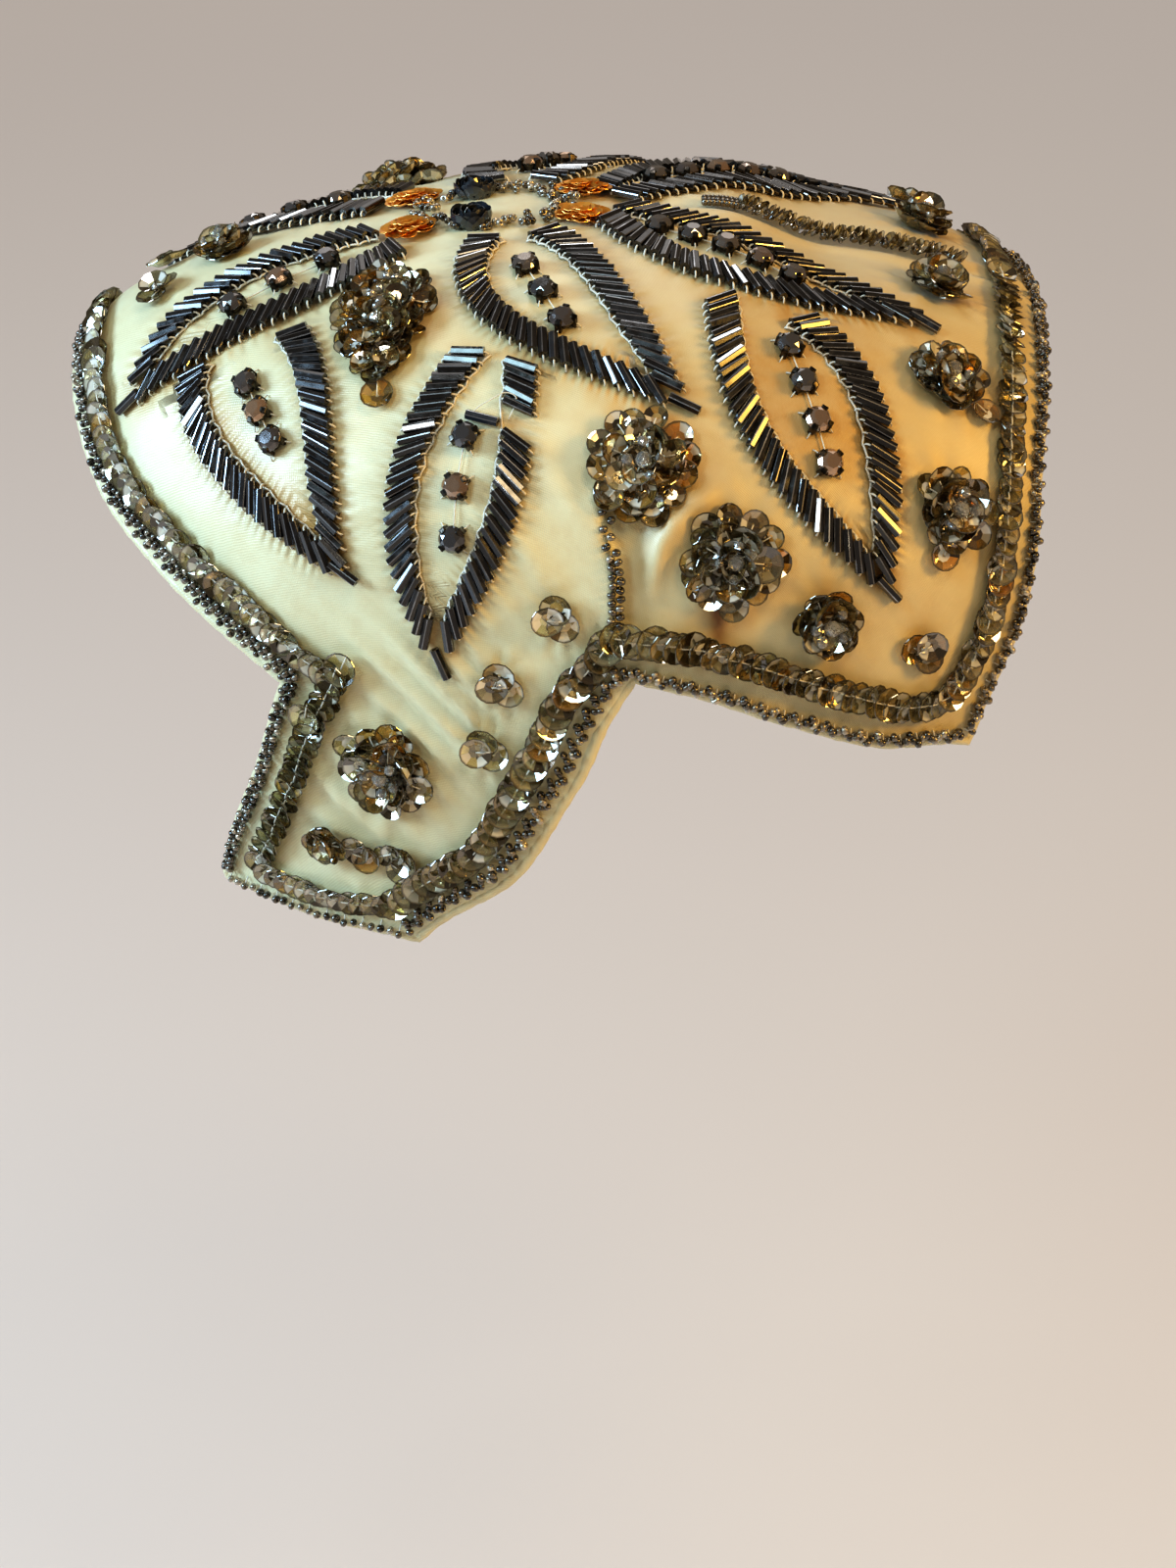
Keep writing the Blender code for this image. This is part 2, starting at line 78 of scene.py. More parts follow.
# The rim of the wearer's left half: degrees round the hub and down from it, and how far inside it the bead
# row and the sequin row run
RIM_COLUMNS = ("turn", "down", "corner", "beads", "sequins")
RIM = (
    (0.0, 52.5, True, 4.5, 10.5),
    (8.0, 54.5, False, 4.5, 10.5),
    (17.5, 62.0, False, 4.5, 10.5),
    (27.0, 67.5, False, 4.5, 10.5),
    (35.0, 73.0, False, 3.5, 10.0),
    (44.0, 81.0, True, 2.4, 8.5),
    (36.0, 92.0, False, 2.2, 8.0),
    (26.0, 103.5, True, 2.2, 8.0),
    (37.5, 109.2, False, 2.2, 8.0),
    (47.5, 115.0, True, 2.4, 8.0),
    (62.5, 112.5, False, 2.8, 9.0),
    (75.0, 104.5, False, 2.8, 9.0),
    (83.0, 97.0, False, 2.6, 9.0),
    (89.0, 92.5, True, 2.4, 8.0),
    (95.0, 97.0, False, 2.2, 9.0),
    (105.5, 106.5, False, 2.2, 9.0),
    (116.5, 115.0, False, 2.2, 8.5),
    (128.5, 120.0, True, 2.4, 8.5),
    (137.5, 110.0, False, 2.2, 8.5),
    (142.5, 102.0, False, 2.2, 8.5),
    (148.5, 93.0, False, 2.2, 8.5),
    (157.5, 87.5, False, 2.2, 8.5),
    (180.0, 85.5, True, 2.2, 8.5),
)
RIM_STEPS = 12
STRETCHES = ("brow", "flap_front", "hem", "flap_back", "panel", "back")

# The rows of bugles that outline each leaf. "bow" is how far a row bows out to its left, in degrees, and
# "belly" how far along its length that bow is widest.
ROW_COLUMNS = ("leaf", "start_front", "start_side", "tip_front", "tip_side", "bow", "belly")
ROWS = (
    ("front_lead", 14.5, 13.0, 47.0, 18.5, 4.6, 0.42),
    ("front_lead", 18.0, 5.5, 47.0, 18.5, -2.6, 0.50),
    ("front_leaf", 39.5, 22.0, 37.0, 56.0, -3.6, 0.36),
    ("front_leaf", 28.7, 25.0, 37.0, 56.0, 3.9, 0.42),
    ("side_lead", 2.0, 14.5, -22.0, 56.0, -11.0, 0.40),
    ("side_lead", -6.0, 14.5, -22.0, 56.0, 3.0, 0.30),
    ("side_leaf", 6.5, 41.0, 33.0, 73.5, -3.9, 0.55),
    ("side_leaf", 0.0, 45.5, 33.0, 73.5, 7.6, 0.47),
    ("back_lead", -21.0, 3.0, -64.0, 32.0, 0.3, 0.50),
    ("back_lead", -18.0, 8.5, -64.0, 32.0, -11.8, 0.48),
    ("back_leaf", -33.5, 36.5, -52.0, 78.0, -10.0, 0.52),
    ("back_leaf", -45.0, 39.5, -52.0, 78.0, 4.8, 0.36),
)
LEAVES = ("front_lead", "front_leaf", "side_lead", "side_leaf", "back_lead", "back_leaf")
BUGLE_LENGTH = 6.0
BUGLE_WIDTH = 2.0
BUGLE_PITCH = 1.83
BUGLE_HOLE = 0.45
BUGLE_HOLE_DEPTH = 0.7
BUGLE_LEAN = (24.0, 36.0, 58.0)
# One bugle is missing from each side leaf's back row, this far along it
MISSING_BUGLE = ("side_leaf", 0.22)

STONE_COLUMNS = ("leaf", "count", "start_front", "start_side", "end_front", "end_side")
STONES = (
    ("front_lead", 3, 23.5, 12.5, 34.0, 15.5),
    ("front_leaf", 3, 35.0, 29.5, 35.0, 38.5),
    ("side_lead", 3, -3.5, 26.0, -7.5, 40.0),
    ("side_leaf", 3, 11.0, 53.0, 19.0, 63.5),
    ("back_lead", 5, -27.0, 14.5, -47.0, 28.0),
    ("back_leaf", 4, -42.0, 46.0, -44.0, 63.5),
)
STONE_RADIUS = 2.45
# The stone's tiers from its table down: sides, share of its radius, level in mm and turn in degrees
STONE_TIERS = (
    (8, 0.52, 1.35, 0.0),
    (8, 0.82, 0.837, 22.5),
    (16, 1.0, 0.12, 11.25),
    (16, 1.0, -0.12, 11.25),
    (8, 0.5, -0.8, 0.0),
)
SETTING_HEIGHT = 1.5
# The share of the stone's radius at the setting's foot, at its rim and out to its claws; claw and bend in mm
SETTING_FOOT = 0.72
SETTING_RIM = 1.04
CLAW_REACH = 0.94
CLAW_SIZE = (0.8, 1.25, 2.3)
CLAW_BEND = (-0.75, 0.0, 0.35)

# The round blossoms of sequins. "tone" is their colour, from 0, pale gold, to 1, smoky grey.
BLOSSOM_COLUMNS = ("name", "front", "side", "length", "width", "heading", "tone")
BLOSSOMS = (
    ("ear_blossom", -14.0, 64.0, 21.0, 20.5, 0.0, 0.40),
    ("nape_blossom", -25.0, 78.0, 20.0, 20.0, 0.0, 0.55),
    ("hem_blossom", -41.0, 86.0, 14.5, 14.5, 0.0, 0.40),
    ("back_blossom_high", -70.0, 18.0, 15.0, 13.0, 90.0, 0.35),
    ("back_blossom_middle", -65.0, 43.5, 16.0, 16.0, 0.0, 0.30),
    ("back_blossom_low", -64.0, 63.5, 18.0, 16.0, 0.0, 0.35),
    ("flap_blossom", 56.0, 75.5, 20.0, 19.0, 0.0, 0.55),
)
BROW_BLOSSOM = ("brow_blossom", 34.5, 0.0, 13.0, 12.0, 0.0, 0.45)
TRIOS = (
    ("hem_trio", -61.0, 85.0, 10.0, 8.0, 0.0, 0.35),
    ("notch_trio", 10.0, 79.5, 10.5, 8.0, 90.0, 0.30),
    ("flap_trio_high", 26.5, 82.5, 10.5, 8.5, 90.0, 0.40),
    ("flap_trio_low", 37.5, 87.0, 10.0, 8.0, 90.0, 0.40),
)
# A trio each side of the brow blossom, too small for a solid of its own
BROW_TRIO = ("brow_trio", 40.8, 4.8, 10.0, 8.0, 40.0, 0.45)
GRAPES_TIP = (20.5, 42.0)
# How wide the bunch is at each share of its length
GRAPES_OUTLINE = ((0.0, 0.3, 0.65, 0.9, 1.0), (0.72, 1.0, 0.85, 0.5, 0.28))
GRAPES = ("grape_bunch", 18.0, 31.5, 29.0, 16.0, 75.0, 0.45)
FLAP_HEM_BLOSSOM = ("flap_hem_blossom", 71.0, 74.8, 25.0, 10.0, 120.0, 0.70)
# Loose sequins that hang out of a blossom's edge: front and side
HANGING_SEQUINS = {
    "ear_blossom": ((-9.6, 69.6), (-13.4, 70.6), (-6.9, 66.6)),
    "nape_blossom": ((-23.0, 84.6), (-17.6, 79.6)),
    "back_blossom_low": ((-63.0, 70.4),),
    "back_blossom_middle": ((-70.0, 46.5),),
    "flap_blossom": ((57.5, 68.6),),
}
# How far round the middle the rings of a blossom reach, as shares of its own reach, and how each is set:
# tilt in degrees, lift in mm, size, start in radians and how unevenly its sequins lean, in degrees
RING_SHARES = {"under": 0.55, "outer": 1.0, "upper": 0.68}
RINGS = {
    "under": (4.0, 0.5, 1.0, 0.2, 18.0),
    "outer": (12.0, 1.2, 0.86, 0.0, 18.0),
    "upper": (30.0, 2.3, 0.98, 0.4, 32.0),
    "inner": (42.0, 3.0, 0.90, 0.9, 34.0),
    "smoky_outer": (28.0, 1.5, 0.8, 0.0, 18.0),
    "smoky_inner": (50.0, 2.2, 0.7, 0.5, 18.0),
}
RING_SPACING = 3.9
INNER_REACH = 2.2
INNER_COUNT = 5
CRYSTAL_REACH = 2.9
# A blossom's under ring is given this darker tone, as painted shade beneath it
SHADED_TONE = 0.85
# Single sequins: down the blossom, over from its middle line, lift and, for the tail, size
TRIO_SEQUINS = ((1.9, 0.6, 0.5), (-1.6, 1.0, 0.9), (-0.6, -1.4, 1.4))
SMOKY_HEAD = -7.2
SMOKY_TAIL = (
    (-1.2, 0.6, 0.9, 1.0),
    (0.8, -1.2, 0.7, 0.95),
    (4.3, 0.4, 0.6, 0.7),
    (6.2, 1.4, 0.9, 0.8),
    (8.4, -0.2, 0.7, 1.0),
    (7.4, -2.4, 0.6, 0.9),
)
# The bunch's rows, and its layers: which, and how wide each is beside the lowest
GRAPE_ROWS = 11
GRAPE_LAYERS = ((0, 1.0), (1, 0.75), (2, 0.45))
GRAPE_CRYSTALS = 7
SEQUIN_RADIUS = 3.1
SEQUIN_SIDES = 16
SEQUIN_THICK = 0.14
# Its cup's height and the reach of its floor and of its hole, as shares of its radius
SEQUIN_RISE = 0.30
SEQUIN_FLOOR = 0.45
SEQUIN_HOLE = 0.108

# The discs at the hub: degrees round it and down from it, and whether they are copper
DISCS = ((27.0, 15.0, True), (60.0, 8.5, False), (152.0, 15.5, True))
# The rings of sequins in a disc: reach, count, lift and tilt in degrees
COPPER_RINGS = ((3.5, 10, 0.8, -4.0), (2.1, 7, 1.25, -3.0), (0.5, 2, 1.6, 0.0))
DARK_RINGS = ((3.6, 13, 1.2, 66.0), (2.2, 9, 1.5, 72.0), (0.9, 4, 1.7, 80.0))
# Their tones, for copper ones and dark ones, and their sequins' size
DISC_TONES = {True: (0.2, 0.9), False: (0.75, 1.0)}
DISC_SEQUIN = 0.64
ROSETTE_BEADS = 96
ROSETTE_REACH = 11.2
SEAM_SEQUIN_PITCH = 0.85
EDGE_SEQUIN_PITCH = 2.3
EDGE_SEQUIN_SIZE = {
    "brow": 0.98,
    "flap_front": 1.0,
    "hem": 0.86,
    "flap_back": 1.06,
    "panel": 1.06,
    "back": 0.98,
}
EDGE_SEQUIN_TONE = {
    "brow": 0.55,
    "flap_front": 0.72,
    "hem": 0.72,
    "flap_back": 0.60,
    "panel": 0.42,
    "back": 0.60,
}
EDGE_SEQUIN_SHIFT = {"hem": 1.8}
# Bigger sequins where the front band ends and the flap's band starts
EDGE_END_SEQUINS = ((50.4, 63.1), (48.0, 63.6), (59.1, 61.3))
EDGE_BEAD_RADIUS = 0.86
# How far inward each bead of a group stands, and the step from bead to bead, in mm
EDGE_BEAD_GROUPS = {
    "brow": ((-0.8, 0.7, 2.1, 0.2, 1.6), 0.62),
    "flap_front": ((-1.7, -0.3, -1.3, -0.1), 0.80),
    "hem": ((-1.1, -0.8), 1.9),
    "flap_back": ((-0.3, 0.9, 1.8, 0.4), 0.80),
    "panel": ((-1.6, -0.8, -0.1, -1.0), 0.85),
    "back": ((-1.5, -0.7, 0.0, -0.9), 0.85),
}
DART = ((-6.0, 68.5), (-4.5, 72.5), (-4.0, 76.5), (-2.0, 80.5), (0.5, 84.5))
SEAM = ((-35.0, 0.0), (-50.0, 0.0), (-64.0, 0.0), (-76.0, 0.0))

# The bugle that hangs loose in the left side leaf and its thread: front and side of their ends and bends
LOOSE_BUGLE = ((10.0, 50.2), (5.6, 53.3))
LOOSE_THREAD = ((10.0, 51.2), (8.2, 50.4), (6.0, 50.2), (3.5, 50.0), (2.2, 51.2), (4.2, 53.2))
LOOSE_THREAD_RADIUS = 0.11

# How many faces the crown has along each stretch of its edge, for one half
FACES_BROW, FACES_FLAP_FRONT = 56, 35
FACES_FLAP_HEM, FACES_FLAP_BACK, FACES_PANEL = 28, 63, 56

# The cloth
MM_PER_DEGREE = 1.55
TWILL_PITCH = 0.6
PLEAT_PITCH = 2.1
PLEAT_DEPTH = 0.16
HEM_RADIUS = 1.25
HEM_SIDES = 10
HEM_WARMTH = 0.12

# Soft ripples where the flap is slack: where, how far they reach, height in mm, waves and phase
RIPPLES = (
    (41.0, 77.0, 15.0, 11.0, 0.95, 1.25, 0.16, 0.0),
    (66.0, 70.0, 9.0, 9.0, 0.65, 1.15, 0.0, 0.5),
)
# Brown patches, partly stains and partly painted shade beside the rows, by the bunch and over the back, the
# one under the nape blossom rust: front, side, reach and depth. Slack folds: height, width in degrees and the
# marks they pass.
STAINS_AND_SHADE_PATCHES = (
    (-50.0, 48.0, 16.0, 0.28),
    (41.5, 31.0, 4.5, 0.75),
    (40.5, 38.0, 4.5, 0.70),
    (38.5, 45.0, 4.0, 0.60),
    (36.5, 51.0, 3.0, 0.50),
    (11.5, 31.5, 4.0, 0.60),
    (0.0, 22.0, 4.0, 0.45),
    (-40.0, 52.0, 9.0, 0.40),
    (-44.0, 62.0, 7.0, 0.30),
    (-16.0, 49.0, 7.0, 0.35),
    (-20.0, 86.6, 3.4, 0.60),
)
# The rust mark from the left nape blossom down to the hem: its ends and its width in degrees
RUST_MARK = ((-21.0, 83.0), (-18.6, 89.5))
RUST_WIDTH = 1.5
SLACK_FOLDS = (
    (1.9, 1.9, ((-8.5, 80.5), (-13.5, 74.5), (-20.0, 70.5), (-27.0, 68.0))),
    (1.2, 2.0, ((-14.0, 84.5), (-20.0, 82.0), (-26.0, 83.5))),
    (-0.9, 1.9, ((-7.0, 77.0), (-11.0, 71.5), (-17.0, 67.5))),
    (0.8, 2.6, ((-3.0, 70.0), (1.0, 62.0), (2.0, 54.0))),
    (0.7, 2.4, ((8.0, 76.0), (10.0, 68.0), (13.0, 62.0))),
)

# Colours of hard things at a low, a middle and a high tone
BUGLE_COLOURS = ((0.010, 0.008, 0.007), (0.016, 0.014, 0.013), (0.045, 0.05, 0.06))
STONE_COLOURS = ((0.30, 0.26, 0.23), (0.16, 0.16, 0.17), (0.62, 0.42, 0.28))
SEQUIN_COLOURS = ((0.97, 0.58, 0.14), (0.95, 0.87, 0.54), (0.42, 0.31, 0.15))
COPPER_COLOURS = ((0.42, 0.17, 0.03), (0.80, 0.36, 0.06), (0.95, 0.52, 0.13))
BEAD_COLOURS = ((0.040, 0.030, 0.020), (0.17, 0.14, 0.105), (0.62, 0.55, 0.44))
# Colours where a thing is whole and where it is worn, rubbed or hazed; for the thread, in the grooves of its
# twist, darker as painted shade, and on its ridges
# The bugles' softened edges are pale metal, a painted highlight along each edge; paler where whole, darker
# where rubbed
EDGE_GLINT_COLOURS = ((0.60, 0.62, 0.66), (0.26, 0.25, 0.25))
SETTING_COLOURS = ((0.018, 0.016, 0.014), (0.12, 0.10, 0.08))
CRYSTAL_COLOURS = ((0.97, 0.97, 0.95), (0.84, 0.83, 0.79))
LINING_COLOURS = ((0.72, 0.64, 0.48), (0.58, 0.48, 0.32))
THREAD_GROOVE_SHADE_COLOURS = ((0.66, 0.60, 0.48), (0.90, 0.87, 0.78))
FLOOR_COLOURS = ((0.46, 0.42, 0.40), (0.49, 0.45, 0.42))
# The satin where it is clean; where it is brown, partly from stains and partly as painted shade beside the
# rows, round the blossoms and over the back; and where it is yellowed, spotted, in a rib's shadow or rusted
SATIN_CLEAN = (0.82, 0.79, 0.54)
SATIN_BROWNED_AND_SHADED = (0.54, 0.29, 0.06)
SATIN_YELLOWED = (0.77, 0.68, 0.42)
SATIN_SPOTTED = (0.66, 0.50, 0.27)
SATIN_SHADOW = (0.52, 0.42, 0.24)
SATIN_RUSTED = (0.22, 0.075, 0.012)
SHEEN_TINT = (0.86, 0.95, 1.0)
GLASS_DUST = (0.045, 0.045, 0.05)
# Sequin facets painted pale as glints and dark as dark reflections, and the sequin's rim painted dark as the
# shade at a clear film's edge
PAINTED_GLINT_FACET = (1.0, 0.96, 0.84)
PAINTED_DARK_REFLECTION_FACET = (0.06, 0.04, 0.015)
SEQUIN_RIM_SHADE = (0.07, 0.05, 0.02)

# The room: its light, what is seen of it and the floor's own faint glow
ROOM_LIGHT = (1.0, 0.86, 0.72)
ROOM_LIGHT_STRENGTH = 0.14
ROOM_TONE = (0.30, 0.278, 0.262)
FLOOR_GLOW = (1.0, 0.92, 0.86)
FLOOR_GLOW_STRENGTH = 0.20

# The camera, the floor and the lights, in metres
CAMERA_PLACE = (0.6398, -0.0081, 0.2133)
CAMERA_PITCH = radians(27.7)
CAMERA_LENS = 80.1
FLOOR_DROP = 0.43
FLOOR_REACH = 6.0
SENSOR_WIDTH = 36.0
LIGHT_COLUMNS = ("name", "place", "aim", "size", "watts", "colour")
LIGHTS = (
    ("window", (0.24, -1.08, 0.34), (0.0, 0.0, -0.04), 0.50, 12.8, (0.50, 0.75, 1.0)),
    ("side_window", (0.80, -0.62, 0.80), (0.0, 0.0, -0.04), 0.28, 2.4, (0.60, 0.88, 1.0)),
    ("warm_lamp", (0.42, 0.92, 0.42), (0.0, 0.0, -0.04), 0.30, 5.4, (1.0, 0.60, 0.14)),
    ("high_lamp", (0.62, 0.30, 1.05), (0.0, 0.0, -0.04), 0.26, 2.0, (1.0, 0.78, 0.48)),
    ("far_lamp", (-0.70, -0.10, 0.95), (0.0, 0.0, -0.04), 0.20, 1.2, (0.92, 0.96, 1.0)),
    ("spark_near", (1.0, -0.50, 0.35), (0.0, 0.0, -0.04), 0.08, 0.35, (0.90, 0.97, 1.0)),
    ("spark_behind", (0.90, 0.50, 0.15), (0.0, 0.0, -0.04), 0.08, 0.35, (1.0, 0.84, 0.58)),
    ("spark_above", (0.35, -0.20, 1.10), (0.0, 0.0, -0.04), 0.08, 0.35, (1.0, 1.0, 1.0)),
    ("spark_high", (0.75, 0.10, 0.75), (0.0, 0.0, -0.04), 0.08, 0.30, (1.0, 0.94, 0.82)),
    ("floor_lamp", (-2.8, 0.0, 2.0), (-2.6, 0.0, -0.4), 2.40, 13.0, (1.0, 0.97, 0.96)),
)


def smooth_step(t):
    t = np.clip(t, 0.0, 1.0)
    return t * t * (3.0 - 2.0 * t)


def bell(distance, reach):
    return np.exp(-((distance / reach) ** 2))


def crown_radius(heading):
    """How far the crown's outer face is from its centre, along each unit vector."""
    x, y, z = np.moveaxis(heading, -1, 0)
    plan = np.abs(x / HALF_WIDTH) ** PLAN_ROUNDNESS + np.abs(y / HALF_LENGTH) ** PLAN_ROUNDNESS
    rise = np.abs(z / np.where(z < 0, SIDE_DROP, HEIGHT)) ** PROFILE_ROUNDNESS
    radius = (plan ** (PROFILE_ROUNDNESS / PLAN_ROUNDNESS) + rise) ** (-1.0 / PROFILE_ROUNDNESS)
    brow = np.array([0.0, -cos(BROW_TILT), sin(BROW_TILT)])
    swell = BROW_HEIGHT * np.exp(-(1.0 - heading @ brow) / BROW_SPREAD)
    behind = smooth_step((y * radius - VALLEY_START) / VALLEY_FADE) * smooth_step(4.0 * z)
    valley = VALLEY_DEPTH * bell(x * radius, VALLEY_WIDTH) * behind
    return radius + swell - valley


def unit(vectors):
    return vectors / np.linalg.norm(vectors, axis=-1, keepdims=True)


def heading_of(front, side):
    """The unit vector from the crown's centre to a place given in degrees from the hub."""
    front, side = np.broadcast_arrays(np.asarray(front, float), np.asarray(side, float))
    down = np.radians(np.hypot(front, side))[..., None]
    turn = np.arctan2(side, front)[..., None]
    return np.cos(down) * HUB + np.sin(down) * (np.cos(turn) * FORWARD + np.sin(turn) * LEFT)


def plan_of(points):
    """(front, side) in degrees from the hub, for points on the crown."""
    heading = unit(points - CENTRE)
    down = np.degrees(np.arccos(np.clip(heading @ HUB, -1.0, 1.0)))
    turn = np.arctan2(heading @ LEFT, heading @ FORWARD)
    return np.stack([down * np.cos(turn), down * np.sin(turn)], axis=-1)


def depth_in_crown(points):
    from_centre = points - CENTRE
    return np.linalg.norm(from_centre, axis=-1) - crown_radius(unit(from_centre))


def crown_normal(points, step=0.5):
    slopes = [
        depth_in_crown(points + axis) - depth_in_crown(points - axis) for axis in np.eye(3) * step
    ]
    return unit(np.stack(slopes, axis=-1))


def onto_crown(points, lift=0.0):
    """The points moved onto the crown's outer face, then lifted off it along its normal."""
    headings = unit(points - CENTRE)
    on_face = CENTRE + crown_radius(headings)[..., None] * headings
    return on_face + np.asarray(lift)[..., None] * crown_normal(on_face)


def place(front, side, lift=0.0):
    return onto_crown(CENTRE + 50.0 * heading_of(front, side), lift)


def curve_through(marks, steps):
    """A smooth curve through the marks, with this many steps between each two."""
    marks = np.asarray(marks, float)
    ends = np.vstack([2 * marks[0] - marks[1], marks, 2 * marks[-1] - marks[-2]])
    t = np.linspace(0.0, 1.0, steps, endpoint=False)[:, None]
    runs = []
    for a, b, c, d in zip(ends, ends[1:], ends[2:], ends[3:]):
        bend = (2 * a - 5 * b + 4 * c - d) * t**2 + (3 * b - a - 3 * c + d) * t**3
        runs.append(0.5 * (2 * b + (c - a) * t + bend))
    return np.vstack([*runs, marks[-1:]])


def along_path(path):
    return np.concatenate([[0.0], np.cumsum(np.linalg.norm(np.diff(path, axis=0), axis=1))])


def at_lengths(path, lengths):
    along = along_path(path)
    return np.stack([np.interp(lengths, along, path[:, axis]) for axis in range(3)], axis=-1)


def spread(path, count):
    """The path with count equal steps."""
    return at_lengths(path, np.linspace(0.0, along_path(path)[-1], count + 1))


def rim_stretches():
    """Each stretch of the rim between two corners: its points on the crown, and both insets at each."""
    stretches = []
    rows = [dict(zip(RIM_COLUMNS, row)) for row in RIM]
    corners = [index for index, row in enumerate(rows) if row["corner"]]
    for first, last in zip(corners, corners[1:]):
        marks = rows[first : last + 1]
        turns, downs, beads, sequins = (
            np.array([mark[column] for mark in marks]) for column in ("turn", "down", "beads", "sequins")
        )
        turns = np.radians(turns)
        table = np.stack([downs * np.cos(turns), downs * np.sin(turns), beads, sequins], axis=-1)
        mirrored = table * [1.0, -1.0, 1.0, 1.0]
        if first == 0:
            curve = curve_through([mirrored[1], *table], RIM_STEPS)[RIM_STEPS:]
        elif last == len(rows) - 1:
            curve = curve_through([*table, mirrored[-2]], RIM_STEPS)[:-RIM_STEPS]
        else:
            curve = curve_through(table, RIM_STEPS)
        stretches.append((place(curve[:, 0], curve[:, 1]), curve[:, 2:]))
    return stretches


def inward(path):
    """The direction along the cloth, square to the path and to the left as the path runs, at each point."""
    return unit(np.cross(crown_normal(path), unit(np.gradient(path, axis=0))))


def row_inside_rim(which):
    """The path of the bead row, 0, or the sequin row, 1, in stretches: each corner keeps its point."""
    stretches = rim_stretches()
    inners = [inward(path) for path, _ in stretches]
    runs = []
    for index, (path, insets) in enumerate(stretches):
        inset = insets[:, which]
        run = path + inset[:, None] * inners[index]
        trims = [0.0, 0.0]
        mitres = [None, None]
        for end, other in ((0, index - 1), (1, index + 1)):
            if not 0 <= other < len(stretches):
                continue
            mine = inners[index][0 if end == 0 else -1]
            theirs = inners[other][-1 if end == 0 else 0]
            corner = path[0 if end == 0 else -1]
            middle = unit(mine + theirs)
            size = inset[0 if end == 0 else -1]
            mitres[end] = corner + middle * size / (middle @ mine)
            tangent = (path[1] - path[0]) if end == 0 else (path[-2] - path[-1])
            trims[end] = max(0.0, (mitres[end] - corner) @ unit(tangent))
        along = along_path(path)
        keep = (along >= trims[0]) & (along <= along[-1] - trims[1])
        run = run[keep]
        if mitres[0] is not None:
            run = np.vstack([mitres[0], run])
        if mitres[1] is not None:
            run = np.vstack([run, mitres[1]])
        runs.append(onto_crown(run))
    return runs


def row_path(row, hand):
    """The middle line of one row of bugles, from its start to its leaf's tip."""
    t = np.linspace(0.0, 1.0, 80)
    start = np.array([row["start_front"], row["start_side"]])
    run = np.array([row["tip_front"], row["tip_side"]]) - start
    out = np.array([-run[1], run[0]]) / np.hypot(*run)
    swing = row["bow"] * np.sin(pi * t ** (np.log(0.5) / np.log(row["belly"])))
    plan = start + t[:, None] * run + swing[:, None] * out
    return place(plan[:, 0], hand * plan[:, 1])


def leaf_rows(leaf):
    return [dict(zip(ROW_COLUMNS, row)) for row in ROWS if row[0] == leaf]


def axes_at(point, toward):
    """Along, across and outward unit vectors at a point on the crown."""
    normal = crown_normal(point)
    along = unit(toward - (toward @ normal) * normal)
    return along, np.cross(normal, along), normal


def seat(point, toward, lift=0.0, tilt=0.0, roll=0.0, size=1.0):
    """The 4x4 place of a small thing on the crown. tilt raises its +X side, roll its +Y side."""
    along, across, normal = axes_at(point, toward)
    x = cos(tilt) * along + sin(tilt) * normal
    z = cos(tilt) * normal - sin(tilt) * along
    y = cos(roll) * across + sin(roll) * z
    z = cos(roll) * z - sin(roll) * across
    where = np.eye(4)
    where[:3, :3] = np.stack([x, y, z], axis=1) * size
    where[:3, 3] = point + lift * normal
    return where


def seat_between(start, end, thickness=1.0):
    """The 4x4 place of a thing one unit long along X that runs from start to end."""
    run = end - start
    x = unit(run)
    y = unit(np.cross(crown_normal((start + end) / 2.0), x))
    where = np.eye(4)
    where[:3, :3] = np.stack([run, y * thickness, np.cross(x, y) * thickness], axis=1)
    where[:3, 3] = start
    return where


# Small things, each modelled once about its own origin in millimetres and then sewn on many times


def template(name, mesh, smooth=False):
    """The finished mesh of a small thing, its faces turned outward."""
    bmesh.ops.recalc_face_normals(mesh, faces=mesh.faces)
    for face in mesh.faces:
        face.smooth = smooth
    return mesh_data(name, mesh)


def mesh_data(name, mesh):
    data = bpy.data.meshes.new(name)
    mesh.to_mesh(data)
    mesh.free()
    return data


def turned(mesh, verts, angle, axis):
    bmesh.ops.rotate(mesh, verts=verts, matrix=Matrix.Rotation(angle, 3, axis))


def moved(mesh, verts, *by):
    bmesh.ops.translate(mesh, verts=verts, vec=by)


def verts_of(made):
    return [item for item in made if isinstance(item, bmesh.types.BMVert)]


def bugle_bead():
    """A six-sided glass tube along X, with softened edges and a hole in each end."""
    mesh = bmesh.new()
    radius = BUGLE_WIDTH / 2
    bmesh.ops.create_cone(mesh, cap_ends=True, segments=6, radius1=radius, radius2=radius, depth=BUGLE_LENGTH)
    long_edges = [edge for edge in mesh.edges if abs(edge.verts[0].co.z - edge.verts[1].co.z) > 1.0]
    softened = bmesh.ops.bevel(
        mesh, geom=long_edges, offset=0.12, segments=1, profile=0.5, affect="EDGES", material=-1
    )
    # The softened edges take the second material, a pale painted highlight along each edge
    for face in softened["faces"]:
        face.material_index = 1
    ends = [face for face in mesh.faces if abs(face.normal.z) > 0.9]
    bmesh.ops.inset_region(mesh, faces=ends, thickness=radius - BUGLE_HOLE)
    for end in ends:
        end.material_index = 0
        depth = -BUGLE_HOLE_DEPTH if end.calc_center_median().z > 0 else BUGLE_HOLE_DEPTH
        sunk = bmesh.ops.extrude_face_region(mesh, geom=[end])["geom"]
        moved(mesh, verts_of(sunk), 0.0, 0.0, depth)
    bmesh.ops.delete(mesh, geom=[end for end in ends if end.is_valid], context="FACES_ONLY")
    turned(mesh, mesh.verts, pi / 2, "Y")
    return template("bugle", mesh)


